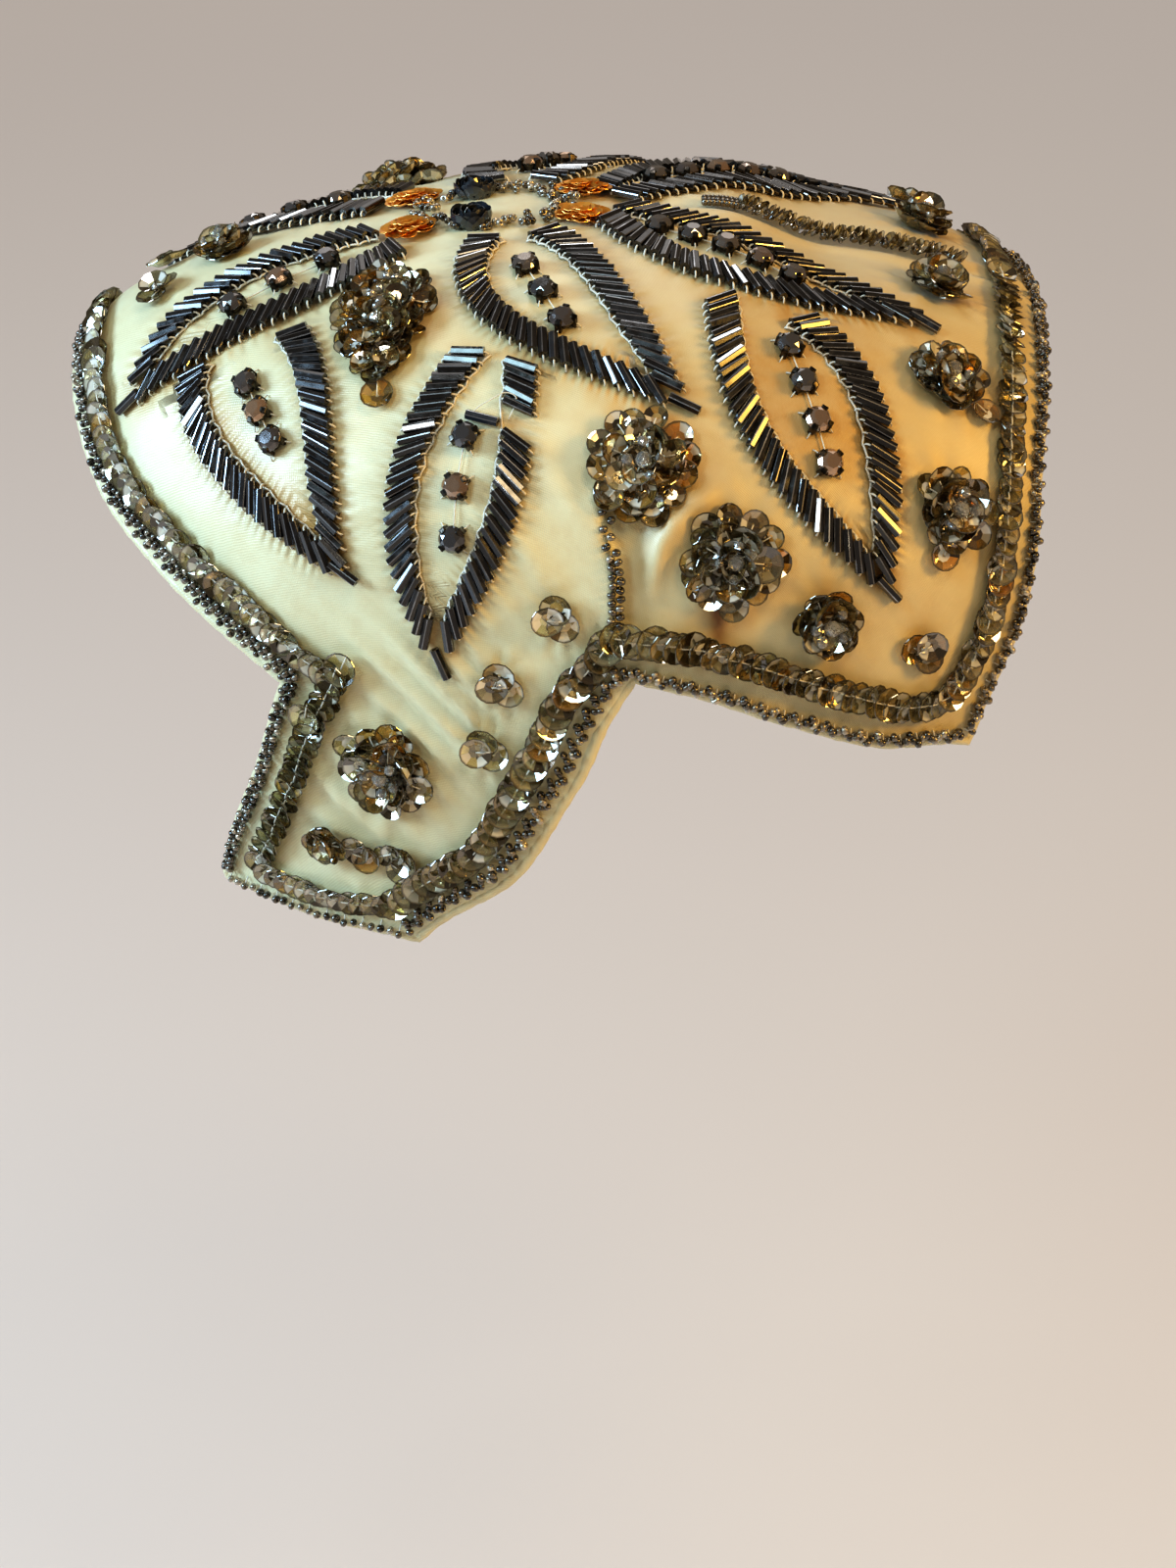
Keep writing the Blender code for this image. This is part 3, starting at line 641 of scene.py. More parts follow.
def thread_loop():
    """A quarter turn of sewing thread: out of a bead along X, then down into the cloth."""
    mesh = bmesh.new()
    ring = bmesh.ops.create_circle(mesh, segments=5, radius=0.2)["verts"]
    turned(mesh, ring, pi / 2, "Y")
    outline = mesh.verts[:] + mesh.edges[:]
    bmesh.ops.spin(
        mesh, geom=outline, cent=(0.0, 0.0, -0.75), axis=(0.0, 1.0, 0.0), angle=radians(105), steps=3
    )
    return template("thread_loop", mesh, smooth=True)


def stitch():
    """A straight stitch one unit long along X, arched a little."""
    mesh = bmesh.new()
    bmesh.ops.create_cone(mesh, cap_ends=True, segments=5, radius1=0.15, radius2=0.15, depth=1.0)
    turned(mesh, mesh.verts, pi / 2, "Y")
    moved(mesh, mesh.verts, 0.5, 0.0, 0.0)
    across = [edge for edge in mesh.edges if abs(edge.verts[0].co.x - edge.verts[1].co.x) > 0.5]
    inner = bmesh.ops.subdivide_edges(mesh, edges=across, cuts=2)["geom_inner"]
    moved(mesh, verts_of(inner), 0.0, 0.0, 0.12)
    for face in mesh.faces:
        face.smooth = len(face.verts) == 4
    return mesh_data("stitch", mesh)


def seed_bead():
    """A round glass bead with a hole, its hole along X."""
    mesh = bmesh.new()
    ring = bmesh.ops.create_circle(mesh, segments=6, radius=0.44)["verts"]
    turned(mesh, ring, pi / 2, "X")
    bmesh.ops.scale(mesh, verts=ring, vec=(1.0, 1.0, 1.5))
    moved(mesh, ring, 0.56, 0.0, 0.0)
    outline = mesh.verts[:] + mesh.edges[:]
    bmesh.ops.spin(
        mesh, geom=outline, cent=(0.0, 0.0, 0.0), axis=(0.0, 0.0, 1.0), angle=2 * pi, steps=10, use_merge=True
    )
    turned(mesh, mesh.verts, pi / 2, "Y")
    return template("seed_bead", mesh, smooth=True)


def crystal():
    """A small faceted round crystal, one unit in radius."""
    mesh = bmesh.new()
    bmesh.ops.create_icosphere(mesh, subdivisions=2, radius=1.0)
    return mesh_data("crystal", mesh)


def cup_sequin():
    """A stamped cup sequin one unit in radius, open side up: eight flat facets, a round rim and a hole."""
    mesh = bmesh.new()
    step = 2 * pi / SEQUIN_SIDES
    swell = SEQUIN_RISE * (1.0 - cos(step)) / ((1.0 - SEQUIN_FLOOR) * cos(step))
    rim, foot, eye = [], [], []
    for side in range(SEQUIN_SIDES):
        x, y = sin(side * step), cos(side * step)
        rim.append(mesh.verts.new((x, y, SEQUIN_RISE + swell * (side % 2))))
        if side % 2 == 0:
            foot.append(mesh.verts.new((SEQUIN_FLOOR * x, SEQUIN_FLOOR * y, 0.0)))
            eye.append(mesh.verts.new((SEQUIN_HOLE * x, SEQUIN_HOLE * y, 0.0)))
    facets = len(foot)
    for k in range(facets):
        after = (k + 1) % facets
        mesh.faces.new((foot[k], foot[after], rim[2 * after], rim[2 * k + 1], rim[2 * k]))
    for first in (0, facets // 2):
        span = [(first + k) % facets for k in range(facets // 2 + 1)]
        mesh.faces.new([foot[k] for k in span] + [eye[k] for k in reversed(span)])
    bmesh.ops.recalc_face_normals(mesh, faces=mesh.faces)
    bmesh.ops.solidify(mesh, geom=mesh.faces[:], thickness=SEQUIN_THICK / SEQUIN_RADIUS)
    return mesh_data("cup_sequin", mesh)


def cut_stone():
    """A round brilliant: a table, two tiers of crown facets, a girdle and a short pavilion."""
    mesh = bmesh.new()
    for sides, reach, level, turn in STONE_TIERS:
        ring = bmesh.ops.create_circle(mesh, segments=sides, radius=reach * STONE_RADIUS)["verts"]
        turned(mesh, ring, radians(turn), "Z")
        moved(mesh, ring, 0.0, 0.0, SETTING_HEIGHT + level)
    hull = bmesh.ops.convex_hull(mesh, input=mesh.verts)
    bmesh.ops.delete(mesh, geom=hull["geom_interior"] + hull["geom_unused"], context="VERTS")
    bmesh.ops.dissolve_limit(mesh, angle_limit=radians(1.0), verts=mesh.verts, edges=mesh.edges)
    return template("cut_stone", mesh)


def claw_setting():
    """The dark cup that holds a stone, with four claws bent over its girdle."""
    mesh = bmesh.new()
    foot, rim = SETTING_FOOT * STONE_RADIUS, SETTING_RIM * STONE_RADIUS
    bmesh.ops.create_cone(mesh, cap_ends=True, segments=16, radius1=foot, radius2=rim, depth=SETTING_HEIGHT)
    moved(mesh, mesh.verts, 0.0, 0.0, SETTING_HEIGHT / 2)
    for corner in range(4):
        claw = bmesh.ops.create_cube(mesh, size=1.0)["verts"]
        bmesh.ops.scale(mesh, verts=claw, vec=CLAW_SIZE)
        tip = [vert for vert in claw if vert.co.z > 0]
        face = next(face for face in tip[0].link_faces if all(vert in tip for vert in face.verts))
        over = verts_of(bmesh.ops.extrude_face_region(mesh, geom=[face, *face.edges])["geom"])
        moved(mesh, over, *CLAW_BEND)
        bmesh.ops.scale(mesh, verts=over, vec=(1.0, 0.7, 1.0))
        claw = [*claw, *over]
        moved(mesh, claw, CLAW_REACH * STONE_RADIUS, 0.0, 1.0)
        turned(mesh, claw, pi / 4 + corner * pi / 2, "Z")
    bmesh.ops.remove_doubles(mesh, verts=mesh.verts, dist=1e-5)
    bmesh.ops.recalc_face_normals(mesh, faces=mesh.faces)
    shared = [edge for edge in mesh.edges if len(edge.link_faces) == 2]
    sharp = [edge for edge in shared if edge.calc_face_angle() > radians(50)]
    bmesh.ops.bevel(mesh, geom=sharp, offset=0.1, segments=1, profile=0.5, affect="EDGES", material=-1)
    return mesh_data("claw_setting", mesh)


def sewn(name, kinds, materials, nodes=()):
    """One piece made of many copies of small things.

    kinds lists (template, places, tones, material index): a copy stands at each 4x4 place and has its tone.
    "reach" is how far each point is from its template's own axis; "facet" is each face's own chance value.
    """
    joined = bmesh.new()
    tones, reaches, slots = [], [], []
    for shape, places, shades, index in kinds:
        for where in places:
            copy = shape.copy()
            copy.transform(Matrix(where.tolist()))
            joined.from_mesh(copy)
            bpy.data.meshes.remove(copy)
        tones.append(np.repeat(np.broadcast_to(shades, len(places)), len(shape.vertices)))
        spots = np.empty(3 * len(shape.vertices), np.float32)
        shape.vertices.foreach_get("co", spots)
        reaches.append(np.tile(np.hypot(spots[0::3], spots[1::3]), len(places)))
        own = np.empty(len(shape.polygons), np.int32)
        shape.polygons.foreach_get("material_index", own)
        slots.append(np.tile(own + index, len(places)))
    data = mesh_data(name, joined)
    data.transform(Matrix.Scale(MM, 4))
    store(data, "tone", np.concatenate(tones))
    store(data, "reach", np.concatenate(reaches))
    for material in materials:
        data.materials.append(material)
    data.polygons.foreach_set("material_index", np.concatenate(slots).astype(np.int32))
    store(data, "facet", rng.uniform(0.0, 1.0, len(data.polygons)), "FACE")
    worn(name, data, nodes)


def store(data, name, values, domain="POINT"):
    """Gives each point or face of a mesh a named value."""
    layer = data.attributes.new(name, "FLOAT", domain)
    layer.data.foreach_set("value", values.astype(np.float32))


def map_cloth(data, plan):
    """The mesh's cloth map in millimetres, from each point's place in degrees."""
    corners = np.empty(len(data.loops), np.int32)
    data.loops.foreach_get("vertex_index", corners)
    cloth = data.uv_layers.new(name="cloth")
    cloth.data.foreach_set("uv", (plan[corners] * MM_PER_DEGREE).astype(np.float32).reshape(-1))


def worn(name, data, nodes=()):
    """Puts a finished mesh on the hat."""
    piece = put_in_scene(name, data)
    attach(piece, "root")
    if nodes:
        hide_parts(*nodes)
    return piece


def jitter(size, count=None):
    return rng.uniform(-size, size, count)


# Shader groups and materials


def link(tree, value, socket):
    """Links a socket to an input, or sets the input to a plain value."""
    if isinstance(value, bpy.types.NodeSocket):
        tree.links.new(value, socket)
    else:
        socket.default_value = value


def add(tree, kind, inputs=None, **settings):
    """A shader node with its settings, and its inputs set or linked."""
    made = tree.nodes.new(kind)
    for name, value in settings.items():
        setattr(made, name, value)
    for socket, value in (inputs or {}).items():
        link(tree, value, made.inputs[socket])
    return made


def maths(tree, operation, *values):
    return add(tree, "ShaderNodeMath", dict(enumerate(values)), operation=operation).outputs[0]


def ranged(tree, value, span=(0.0, 1.0), to=(0.0, 1.0), **settings):
    """The value moved from one range to another, and held inside that."""
    inputs = {"Value": value, "From Min": span[0], "From Max": span[1], "To Min": to[0], "To Max": to[1]}
    return add(tree, "ShaderNodeMapRange", inputs, **settings).outputs["Result"]


def noise(tree, where, scale, detail=2.0, roughness=0.5):
    inputs = {"Vector": where, "Scale": scale, "Detail": detail, "Roughness": roughness}
    return add(tree, "ShaderNodeTexNoise", inputs).outputs["Fac"]


def rgb(colour):
    return (*colour, 1.0)


def mixed(tree, factor, first, second):
    """A mix of two colours, each an output or a plain colour."""
    mix = add(tree, "ShaderNodeMix", data_type="RGBA")
    colours = [rgb(value) if isinstance(value, tuple) else value for value in (first, second)]
    for index, value in zip((0, 6, 7), (factor, *colours)):
        link(tree, value, mix.inputs[index])
    return mix.outputs[2]


def group(name, inputs, result, kind):
    """An empty shader group with these inputs and one result, and what its inputs give."""
    tree = bpy.data.node_groups.new(name, "ShaderNodeTree")
    for socket, socket_type, value in inputs:
        made = tree.interface.new_socket(name=socket, in_out="INPUT", socket_type=socket_type)
        if value is not None:
            made.default_value = value
    tree.interface.new_socket(name=result, in_out="OUTPUT", socket_type=kind)
    return tree, tree.nodes.new("NodeGroupInput").outputs


def closed_group(tree, value):
    tree.links.new(value, tree.nodes.new("NodeGroupOutput").inputs[0])
    return tree


def placed(tree, shared, **inputs):
    """The result of a shader group with these inputs."""
    return add(tree, "ShaderNodeGroup", inputs, node_tree=shared).outputs[0]


def weave_group():
    """Slanted ribs crossed by fine threads, as on satin twill, from a vector in millimetres."""
    inputs = [("Vector", "NodeSocketVector", None), ("Pitch", "NodeSocketFloat", TWILL_PITCH)]
    tree, given = group("weave", inputs, "Height", "NodeSocketFloat")
    frequency = maths(tree, "DIVIDE", 2 * pi, given["Pitch"])
    parts = add(tree, "ShaderNodeSeparateXYZ", {0: given["Vector"]}).outputs
    wobble = noise(tree, given["Vector"], 0.6)
    heights = []
    for share_x, share_y in ((0.8, 1.0), (-1.0, 0.8)):
        slant = maths(tree, "MULTIPLY_ADD", parts["X"], share_x, maths(tree, "MULTIPLY", parts["Y"], share_y))
        phase = maths(tree, "MULTIPLY", maths(tree, "MULTIPLY_ADD", wobble, 0.5, slant), frequency)
        heights.append(maths(tree, "SINE", phase))
    both = maths(tree, "MULTIPLY_ADD", heights[1], 0.65, heights[0])
    return closed_group(tree, ranged(tree, both, (-1.65, 1.65)))


def blotch_group():
    """Soft uneven patches between 0 and 1, for yellowing, handling and dust."""
    inputs = [
        ("Vector", "NodeSocketVector", None),
        ("Size", "NodeSocketFloat", 10.0),
        ("Bite", "NodeSocketFloat", 0.5),
    ]
    tree, given = group("blotches", inputs, "Mask", "NodeSocketFloat")
    patches = noise(tree, given["Vector"], maths(tree, "DIVIDE", 1.0, given["Size"]), 4.0, 0.6)
    low = maths(tree, "MULTIPLY_ADD", 0.5, given["Bite"], 0.03)
    high = maths(tree, "ADD", low, 0.3)
    return closed_group(tree, ranged(tree, patches, (low, high), interpolation_type="SMOOTHSTEP"))


def tint_group():
    """A colour between three, chosen by a tone from 0 to 1."""
    inputs = [("Tone", "NodeSocketFloat", 0.5)]
    inputs += [(name, "NodeSocketColor", None) for name in ("Low", "Middle", "High")]
    tree, given = group("tint", inputs, "Color", "NodeSocketColor")
    lower = mixed(tree, ranged(tree, given["Tone"], (0.0, 0.5)), given["Low"], given["Middle"])
    upper = mixed(tree, ranged(tree, given["Tone"], (0.5, 1.0)), lower, given["High"])
    return closed_group(tree, upper)


def dress(material, **inputs):
    """Sets or links inputs of the material's Principled BSDF, named with underscores for spaces."""
    shader = material.node_tree.nodes["Principled BSDF"]
    for socket, value in inputs.items():
        link(material.node_tree, value, shader.inputs[socket.replace("_", " ")])
    return material


def new_material(name, **inputs):
    """A new material with these inputs set, and its tree."""
    material = bpy.data.materials.new(name)
    material.use_nodes = True
    return dress(material, **inputs), material.node_tree


def cloth_vector(tree):
    """The cloth's own coordinates in millimetres."""
    return add(tree, "ShaderNodeUVMap", uv_map="cloth").outputs["UV"]


def millimetres(tree):
    """Object coordinates in millimetres."""
    where = add(tree, "ShaderNodeTexCoord").outputs["Object"]
    return add(tree, "ShaderNodeVectorMath", {0: where, 1: (1.0 / MM,) * 3}, operation="MULTIPLY").outputs[0]


def attribute(tree, name):
    return add(tree, "ShaderNodeAttribute", attribute_name=name).outputs["Fac"]


def bumped(tree, height, strength, distance):
    bump = add(tree, "ShaderNodeBump", {"Height": height, "Strength": strength, "Distance": distance * MM})
    return bump.outputs["Normal"]


def by_tone(tree, tint, colours):
    """The colour at a piece's tone, from its low, middle and high colours."""
    low, middle, high = [rgb(colour) for colour in colours]
    return placed(tree, tint, Tone=attribute(tree, "tone"), Low=low, Middle=middle, High=high)


def satin_material(weave, blotches):
    material, tree = new_material(
        "cream_satin", Sheen_Weight=0.22, Sheen_Roughness=0.35, Sheen_Tint=rgb(SHEEN_TINT),
        Specular_IOR_Level=0.7, Coat_Roughness=0.34,
    )
    cloth = cloth_vector(tree)
    height = placed(tree, weave, Vector=cloth, Pitch=TWILL_PITCH)
    aged = placed(tree, blotches, Vector=cloth, Size=22.0, Bite=0.55)
    spots = placed(tree, blotches, Vector=cloth, Size=5.0, Bite=0.75)
    # The brown mixed in here is partly stains and yellowing, partly painted shade beside the rows, round the
    # blossoms and over the back
    colour = mixed(tree, attribute(tree, "browning_and_shade"), SATIN_CLEAN, SATIN_BROWNED_AND_SHADED)
    colour = mixed(tree, maths(tree, "MULTIPLY", aged, 0.45), colour, SATIN_YELLOWED)
    colour = mixed(tree, maths(tree, "MULTIPLY", spots, 0.22), colour, SATIN_SPOTTED)
    colour = mixed(tree, ranged(tree, height, to=(0.30, 0.0)), colour, SATIN_SHADOW)
    colour = mixed(tree, attribute(tree, "rust"), colour, SATIN_RUSTED)
    wave = maths(tree, "SINE", maths(tree, "MULTIPLY", attribute(tree, "pleat_phase"), 2 * pi))
    depth = maths(tree, "MULTIPLY", attribute(tree, "pleat_depth"), PLEAT_DEPTH)
    relief = maths(tree, "MULTIPLY_ADD", wave, depth, maths(tree, "MULTIPLY", height, 0.045))
    return dress(
        material,
        Base_Color=colour,
        Roughness=ranged(tree, height, to=(0.50, 0.30)),
        Coat_Weight=ranged(tree, aged, to=(0.28, 0.12)),
        Normal=bumped(tree, relief, 0.85, 1.0),
    )


def lining_material(weave, blotches):
    material, tree = new_material("plain_lining", Sheen_Weight=0.2)
    cloth = cloth_vector(tree)
    height = placed(tree, weave, Vector=cloth, Pitch=0.9)
    aged = placed(tree, blotches, Vector=cloth, Size=16.0, Bite=0.5)
    return dress(
        material,
        Base_Color=mixed(tree, aged, *LINING_COLOURS),
        Roughness=ranged(tree, aged, to=(0.85, 0.7)),
        Normal=bumped(tree, height, 0.6, 0.12),
    )


def thread_material(weave):
    material, tree = new_material("sewing_thread", Roughness=0.55, Sheen_Weight=0.3)
    height = placed(tree, weave, Vector=millimetres(tree), Pitch=0.3)
    # The thread is darker in the grooves of its twist, as painted shade
    colour = mixed(tree, height, *THREAD_GROOVE_SHADE_COLOURS)
    return dress(material, Base_Color=colour, Normal=bumped(tree, height, 0.5, 0.05))


def bugle_material(tint, blotches):
    material, tree = new_material("dark_bugle_glass", IOR=1.5, Coat_Weight=1.0, Coat_Roughness=0.04)
    dust = placed(tree, blotches, Vector=millimetres(tree), Size=2.5, Bite=0.7)
    colour = mixed(tree, maths(tree, "MULTIPLY", dust, 0.2), by_tone(tree, tint, BUGLE_COLOURS), GLASS_DUST)
    return dress(material, Base_Color=colour, Roughness=ranged(tree, dust, to=(0.10, 0.28)))


def rubbed_material(name, blotches, size, bite, colours, rough, **inputs):
    """Metal or glaze that changes where it is rubbed, in patches of this size."""
    material, tree = new_material(name, **inputs)
    rubbed = placed(tree, blotches, Vector=millimetres(tree), Size=size, Bite=bite)
    return dress(material, Base_Color=mixed(tree, rubbed, *colours), Roughness=ranged(tree, rubbed, to=rough))


def toned_material(name, tint, colours, scale, detail, rough, **inputs):
    """A hard finish with a colour for each tone, dulled unevenly by wear."""
    material, tree = new_material(name, **inputs)
    wear = noise(tree, millimetres(tree), scale, detail)
    return dress(material, Base_Color=by_tone(tree, tint, colours), Roughness=ranged(tree, wear, to=rough))


def sequin_material(tint):
    """Thin clear film, amber, pale or smoky brown by tone, its rim painted dark as shade, some facets painted
    dark as reflections and some pale as glints.
    """
    material, tree = new_material(
        "gold_grey_sequin", IOR=1.55, Coat_Weight=1.0, Coat_Roughness=0.02, Coat_IOR=2.1
    )
    facet = attribute(tree, "facet")
    # Some facets are painted dark, as painted dark reflections, and some pale, as painted glints; the rim is
    # painted dark, as painted shade at the film's edge
    dark = ranged(tree, facet, (0.70, 0.88))
    painted_glint = ranged(tree, facet, (0.24, 0.10))
    rim = ranged(tree, attribute(tree, "reach"), (0.86, 0.97))
    colour = mixed(tree, painted_glint, by_tone(tree, tint, SEQUIN_COLOURS), PAINTED_GLINT_FACET)
    colour = mixed(tree, rim, mixed(tree, dark, colour, PAINTED_DARK_REFLECTION_FACET), SEQUIN_RIM_SHADE)
    coated = maths(tree, "MAXIMUM", maths(tree, "MAXIMUM", rim, dark), painted_glint)
    film = noise(tree, millimetres(tree), 0.35, 3.0)
    return dress(
        material,
        Base_Color=colour,
        Transmission_Weight=ranged(tree, coated, to=(0.90, 0.30)),
        Roughness=ranged(tree, film, to=(0.0, 0.10)),
    )


def crystal_material():
    """Clear cut glass, hazed a little by wear."""
    material, tree = new_material(
        "clear_crystal", Transmission_Weight=0.85, IOR=1.6, Coat_Weight=1.0, Coat_Roughness=0.0
    )
    haze = noise(tree, millimetres(tree), 0.9)
    colour = mixed(tree, haze, *CRYSTAL_COLOURS)
    return dress(material, Base_Color=colour, Roughness=ranged(tree, haze, to=(0.0, 0.08)))


# The cloth


def crown_patch():
    """The left half's outer face as a four-sided patch: middle line, front, hems and back edge."""
    brow, flap_front, hem, flap_back, panel, back = [path for path, _ in rim_stretches()]
    tall = FACES_BROW + FACES_FLAP_FRONT
    wide = FACES_FLAP_HEM + FACES_FLAP_BACK + FACES_PANEL
    front = np.vstack([spread(brow, FACES_BROW)[:-1], spread(flap_front, FACES_FLAP_FRONT)])
    flap_edge = [spread(hem, FACES_FLAP_HEM)[:-1], spread(flap_back, FACES_FLAP_BACK)[:-1]]
    low = np.vstack([*flap_edge, spread(panel, FACES_PANEL)])
    rear = spread(back[::-1], tall)
    middle = spread(place(np.linspace(RIM[0][1], -RIM[-1][1], 240), 0.0), wide)
    u = np.linspace(0.0, 1.0, wide + 1)[None, :, None]
    v = np.linspace(0.0, 1.0, tall + 1)[:, None, None]
    patch = (1 - v) * middle[None] + v * low[None] + (1 - u) * front[:, None] + u * rear[:, None]
    patch -= (1 - u) * (1 - v) * middle[0] + u * (1 - v) * middle[-1]
    patch -= (1 - u) * v * low[0] + u * v * low[-1]
    patch = onto_crown(patch)
    patch[0, :, 0] = 0.0
    return patch


def distance_along(points, path):
    """How far each 2-D point is from a path, which side of it, and how far along it, as a share."""
    starts, runs = path[:-1], np.diff(path, axis=0)
    lengths = np.linalg.norm(runs, axis=1)
    best = np.full(len(points), 1e9)
    side = np.zeros(len(points))
    share = np.zeros(len(points))
    total = lengths.sum()
    before = np.concatenate([[0.0], np.cumsum(lengths)])
    for start, run, length, done in zip(starts, runs, lengths, before):
        offset = points - start
        t = np.clip(offset @ run / length**2, 0.0, 1.0)
        gap = offset - t[:, None] * run
        away = np.linalg.norm(gap, axis=1)
        nearer = away < best
        best = np.where(nearer, away, best)
        side = np.where(nearer, np.sign(run[0] * offset[:, 1] - run[1] * offset[:, 0]), side)
        share = np.where(nearer, (done + t * length) / total, share)
    return best, side, share


def plan_rows():
    """Each bugle row's middle line in plan degrees, for the wearer's left."""
    lines = []
    for row in ROWS:
        named = dict(zip(ROW_COLUMNS, row))
        lines.append((row[0], plan_of(row_path(named, 1.0))[::4]))
    return lines


def cloth_relief(plan):
    """The satin's rise or fall at each place, in mm, and how browned and painted with shade, rusty and
    pleated it is.
    """
    front, side = plan[:, 0], np.abs(plan[:, 1])
    half = np.stack([front, side], axis=-1)
    rise, browning_and_shade, pleat_phase, pleat_depth = np.zeros((4, len(plan)))
    # The satin is pulled down under each row of bugles and gathers into pleats that run square to it
    for leaf, line in plan_rows():
        away, _, share = distance_along(half, line)
        away = away * MM_PER_DEGREE
        along = share * np.linalg.norm(np.diff(line, axis=0), axis=1).sum() * MM_PER_DEGREE
        from_end = np.minimum(share, 1.0 - share)
        rise -= 0.40 * bell(away, 3.2)
        beside = bell(away - 5.5, 3.2) * smooth_step(8.0 * from_end)
        rise += 0.22 * beside * np.sin(2 * pi * along / 6.4 + len(leaf))
        close = bell(away - 3.4, 2.0) * smooth_step(10.0 * from_end)
        pleat_phase = np.where(close > pleat_depth, along / PLEAT_PITCH, pleat_phase)
        pleat_depth = np.maximum(close, pleat_depth)
        # Brown along each row, scalloped: a painted shadow and painted amber reflection of the bugles on the
        # satin
        scallop = 1.0 + 0.35 * np.sin(2 * pi * along / PLEAT_PITCH / 2.0)
        browning_and_shade += 0.72 * scallop * bell(away, 4.3)
    # and round each blossom, in short pleats that point at it
    for row in (*BLOSSOMS, *TRIOS, GRAPES, FLAP_HEM_BLOSSOM):
        flower = dict(zip(BLOSSOM_COLUMNS, row))
        offset = half - [flower["front"], flower["side"]]
        away = np.linalg.norm(offset, axis=1) * MM_PER_DEGREE
        reach = 0.25 * (flower["length"] + flower["width"])
        turn = np.arctan2(offset[:, 1], offset[:, 0])
        ring = bell(away - reach - 1.5, 3.5)
        pressed = np.exp(-((away / (0.8 * reach)) ** 4))
        rise += 0.24 * ring * np.sin(9 * turn + flower["front"]) - 0.5 * pressed
        # Brown round each blossom: painted shade from its sequins
        browning_and_shade += 0.35 * bell(away, 1.25 * reach)
    # The back of the crown is browner than its front, partly yellowing and partly painted shade; the listed
    # patches add more, partly stains and partly painted shade
    browning_and_shade += 0.46 * smooth_step((8.0 - front) / 28.0)
    for spot_front, spot_side, reach, depth in STAINS_AND_SHADE_PATCHES:
        browning_and_shade += depth * bell(np.hypot(front - spot_front, side - spot_side), reach)
    away, _, share = distance_along(half, np.array(RUST_MARK))
    rust = bell(away, RUST_WIDTH) * smooth_step(1.15 - 0.55 * share) * (plan[:, 1] > 0.0)
    # The dart: its front side stands over its back side, and slack folds run beside it
    away, turn, share = distance_along(half, np.array(DART))
    fade = np.where((share > 0.0) & (share < 1.0), 1.0, bell(away, 3.0))
    rise += fade * bell(away, 5.5) * (1.1 - 2.4 * smooth_step(0.5 + turn * away))
    for height, width, marks in SLACK_FOLDS:
        away, _, share = distance_along(half, np.array(marks))
        rise += height * np.sin(pi * np.clip(share, 0.04, 0.96)) ** 0.5 * bell(away, width)
    for front_at, side_at, front_reach, side_reach, height, front_wave, side_wave, phase in RIPPLES:
        slack = np.exp(-(((front - front_at) / front_reach) ** 2) - (((side - side_at) / side_reach) ** 2))
        rise += height * slack * np.sin(front * front_wave + side_wave * side + phase)
    # A seam down the middle of the back, sunk between two low ridges
    rise += smooth_step((-front - 22.0) / 10.0) * (0.6 * bell(side - 4.5, 1.6) - 0.6 * bell(side, 1.6))
    browning_and_shade = np.clip(browning_and_shade, 0.0, 1.0)
    return rise, {"browning_and_shade": browning_and_shade, "rust": rust, "pleat_phase": pleat_phase, "pleat_depth": pleat_depth}


def waviness(points):
    """A gentle unevenness over the whole crown, from a few long waves."""
    rise = np.zeros(len(points))
    for _ in range(9):
        heading = unit(rng.normal(size=3))
        wave = rng.uniform(14.0, 34.0)
        rise += 0.10 * np.sin(points @ heading * 2 * pi / wave + rng.uniform(0.0, 2 * pi))
    return rise


def rim_fade(rows, columns):
    """0 on the rim of the whole crown's grid, rising to 1 a few faces in."""
    row = np.minimum(np.arange(rows), np.arange(rows)[::-1])[:, None]
    column = np.minimum(np.arange(columns), np.arange(columns)[::-1])[None]
    return smooth_step(np.minimum(row, column) / 3.0)


def make_crown(satin, lining):
    half = crown_patch()
    mirrored = half[:0:-1] * [-1.0, 1.0, 1.0]
    whole = np.concatenate([mirrored, half])
    rows, columns = whole.shape[:2]
    points = whole.reshape(-1, 3)
    plan = plan_of(points)
    rise, marks = cloth_relief(plan)
    rise = (rise + waviness(points)) * rim_fade(rows, columns).reshape(-1)
    points = points + rise[:, None] * crown_normal(points)
    mesh = bmesh.new()
    bmesh.ops.create_grid(mesh, x_segments=columns - 1, y_segments=rows - 1, size=1.0)
    order = []
    for vert in mesh.verts:
        column = round((vert.co.x + 1.0) / 2.0 * (columns - 1))
        row = round((vert.co.y + 1.0) / 2.0 * (rows - 1))
        order.append(row * columns + column)
    for vert, index in zip(mesh.verts, order):
        vert.co = points[index] * MM
    mesh.faces.ensure_lookup_table()
    middle_face = mesh.faces[len(mesh.faces) // 2]
    middle_face.normal_update()
    if middle_face.normal.z < 0:
        bmesh.ops.reverse_faces(mesh, faces=mesh.faces)
    data = mesh_data("crown_satin", mesh)
    for mark, values in marks.items():
        store(data, mark, values[order])
    map_cloth(data, plan[order])
    data.shade_smooth()
    data.materials.append(satin)
    data.materials.append(lining)
    crown = worn("crown_satin", data, ["crown"])
    wall = crown.modifiers.new("Wall", "SOLIDIFY")
    wall.thickness = WALL * MM
    wall.offset = -1.0
    wall.use_even_offset = True
    wall.material_offset = 1
    wall.material_offset_rim = 0


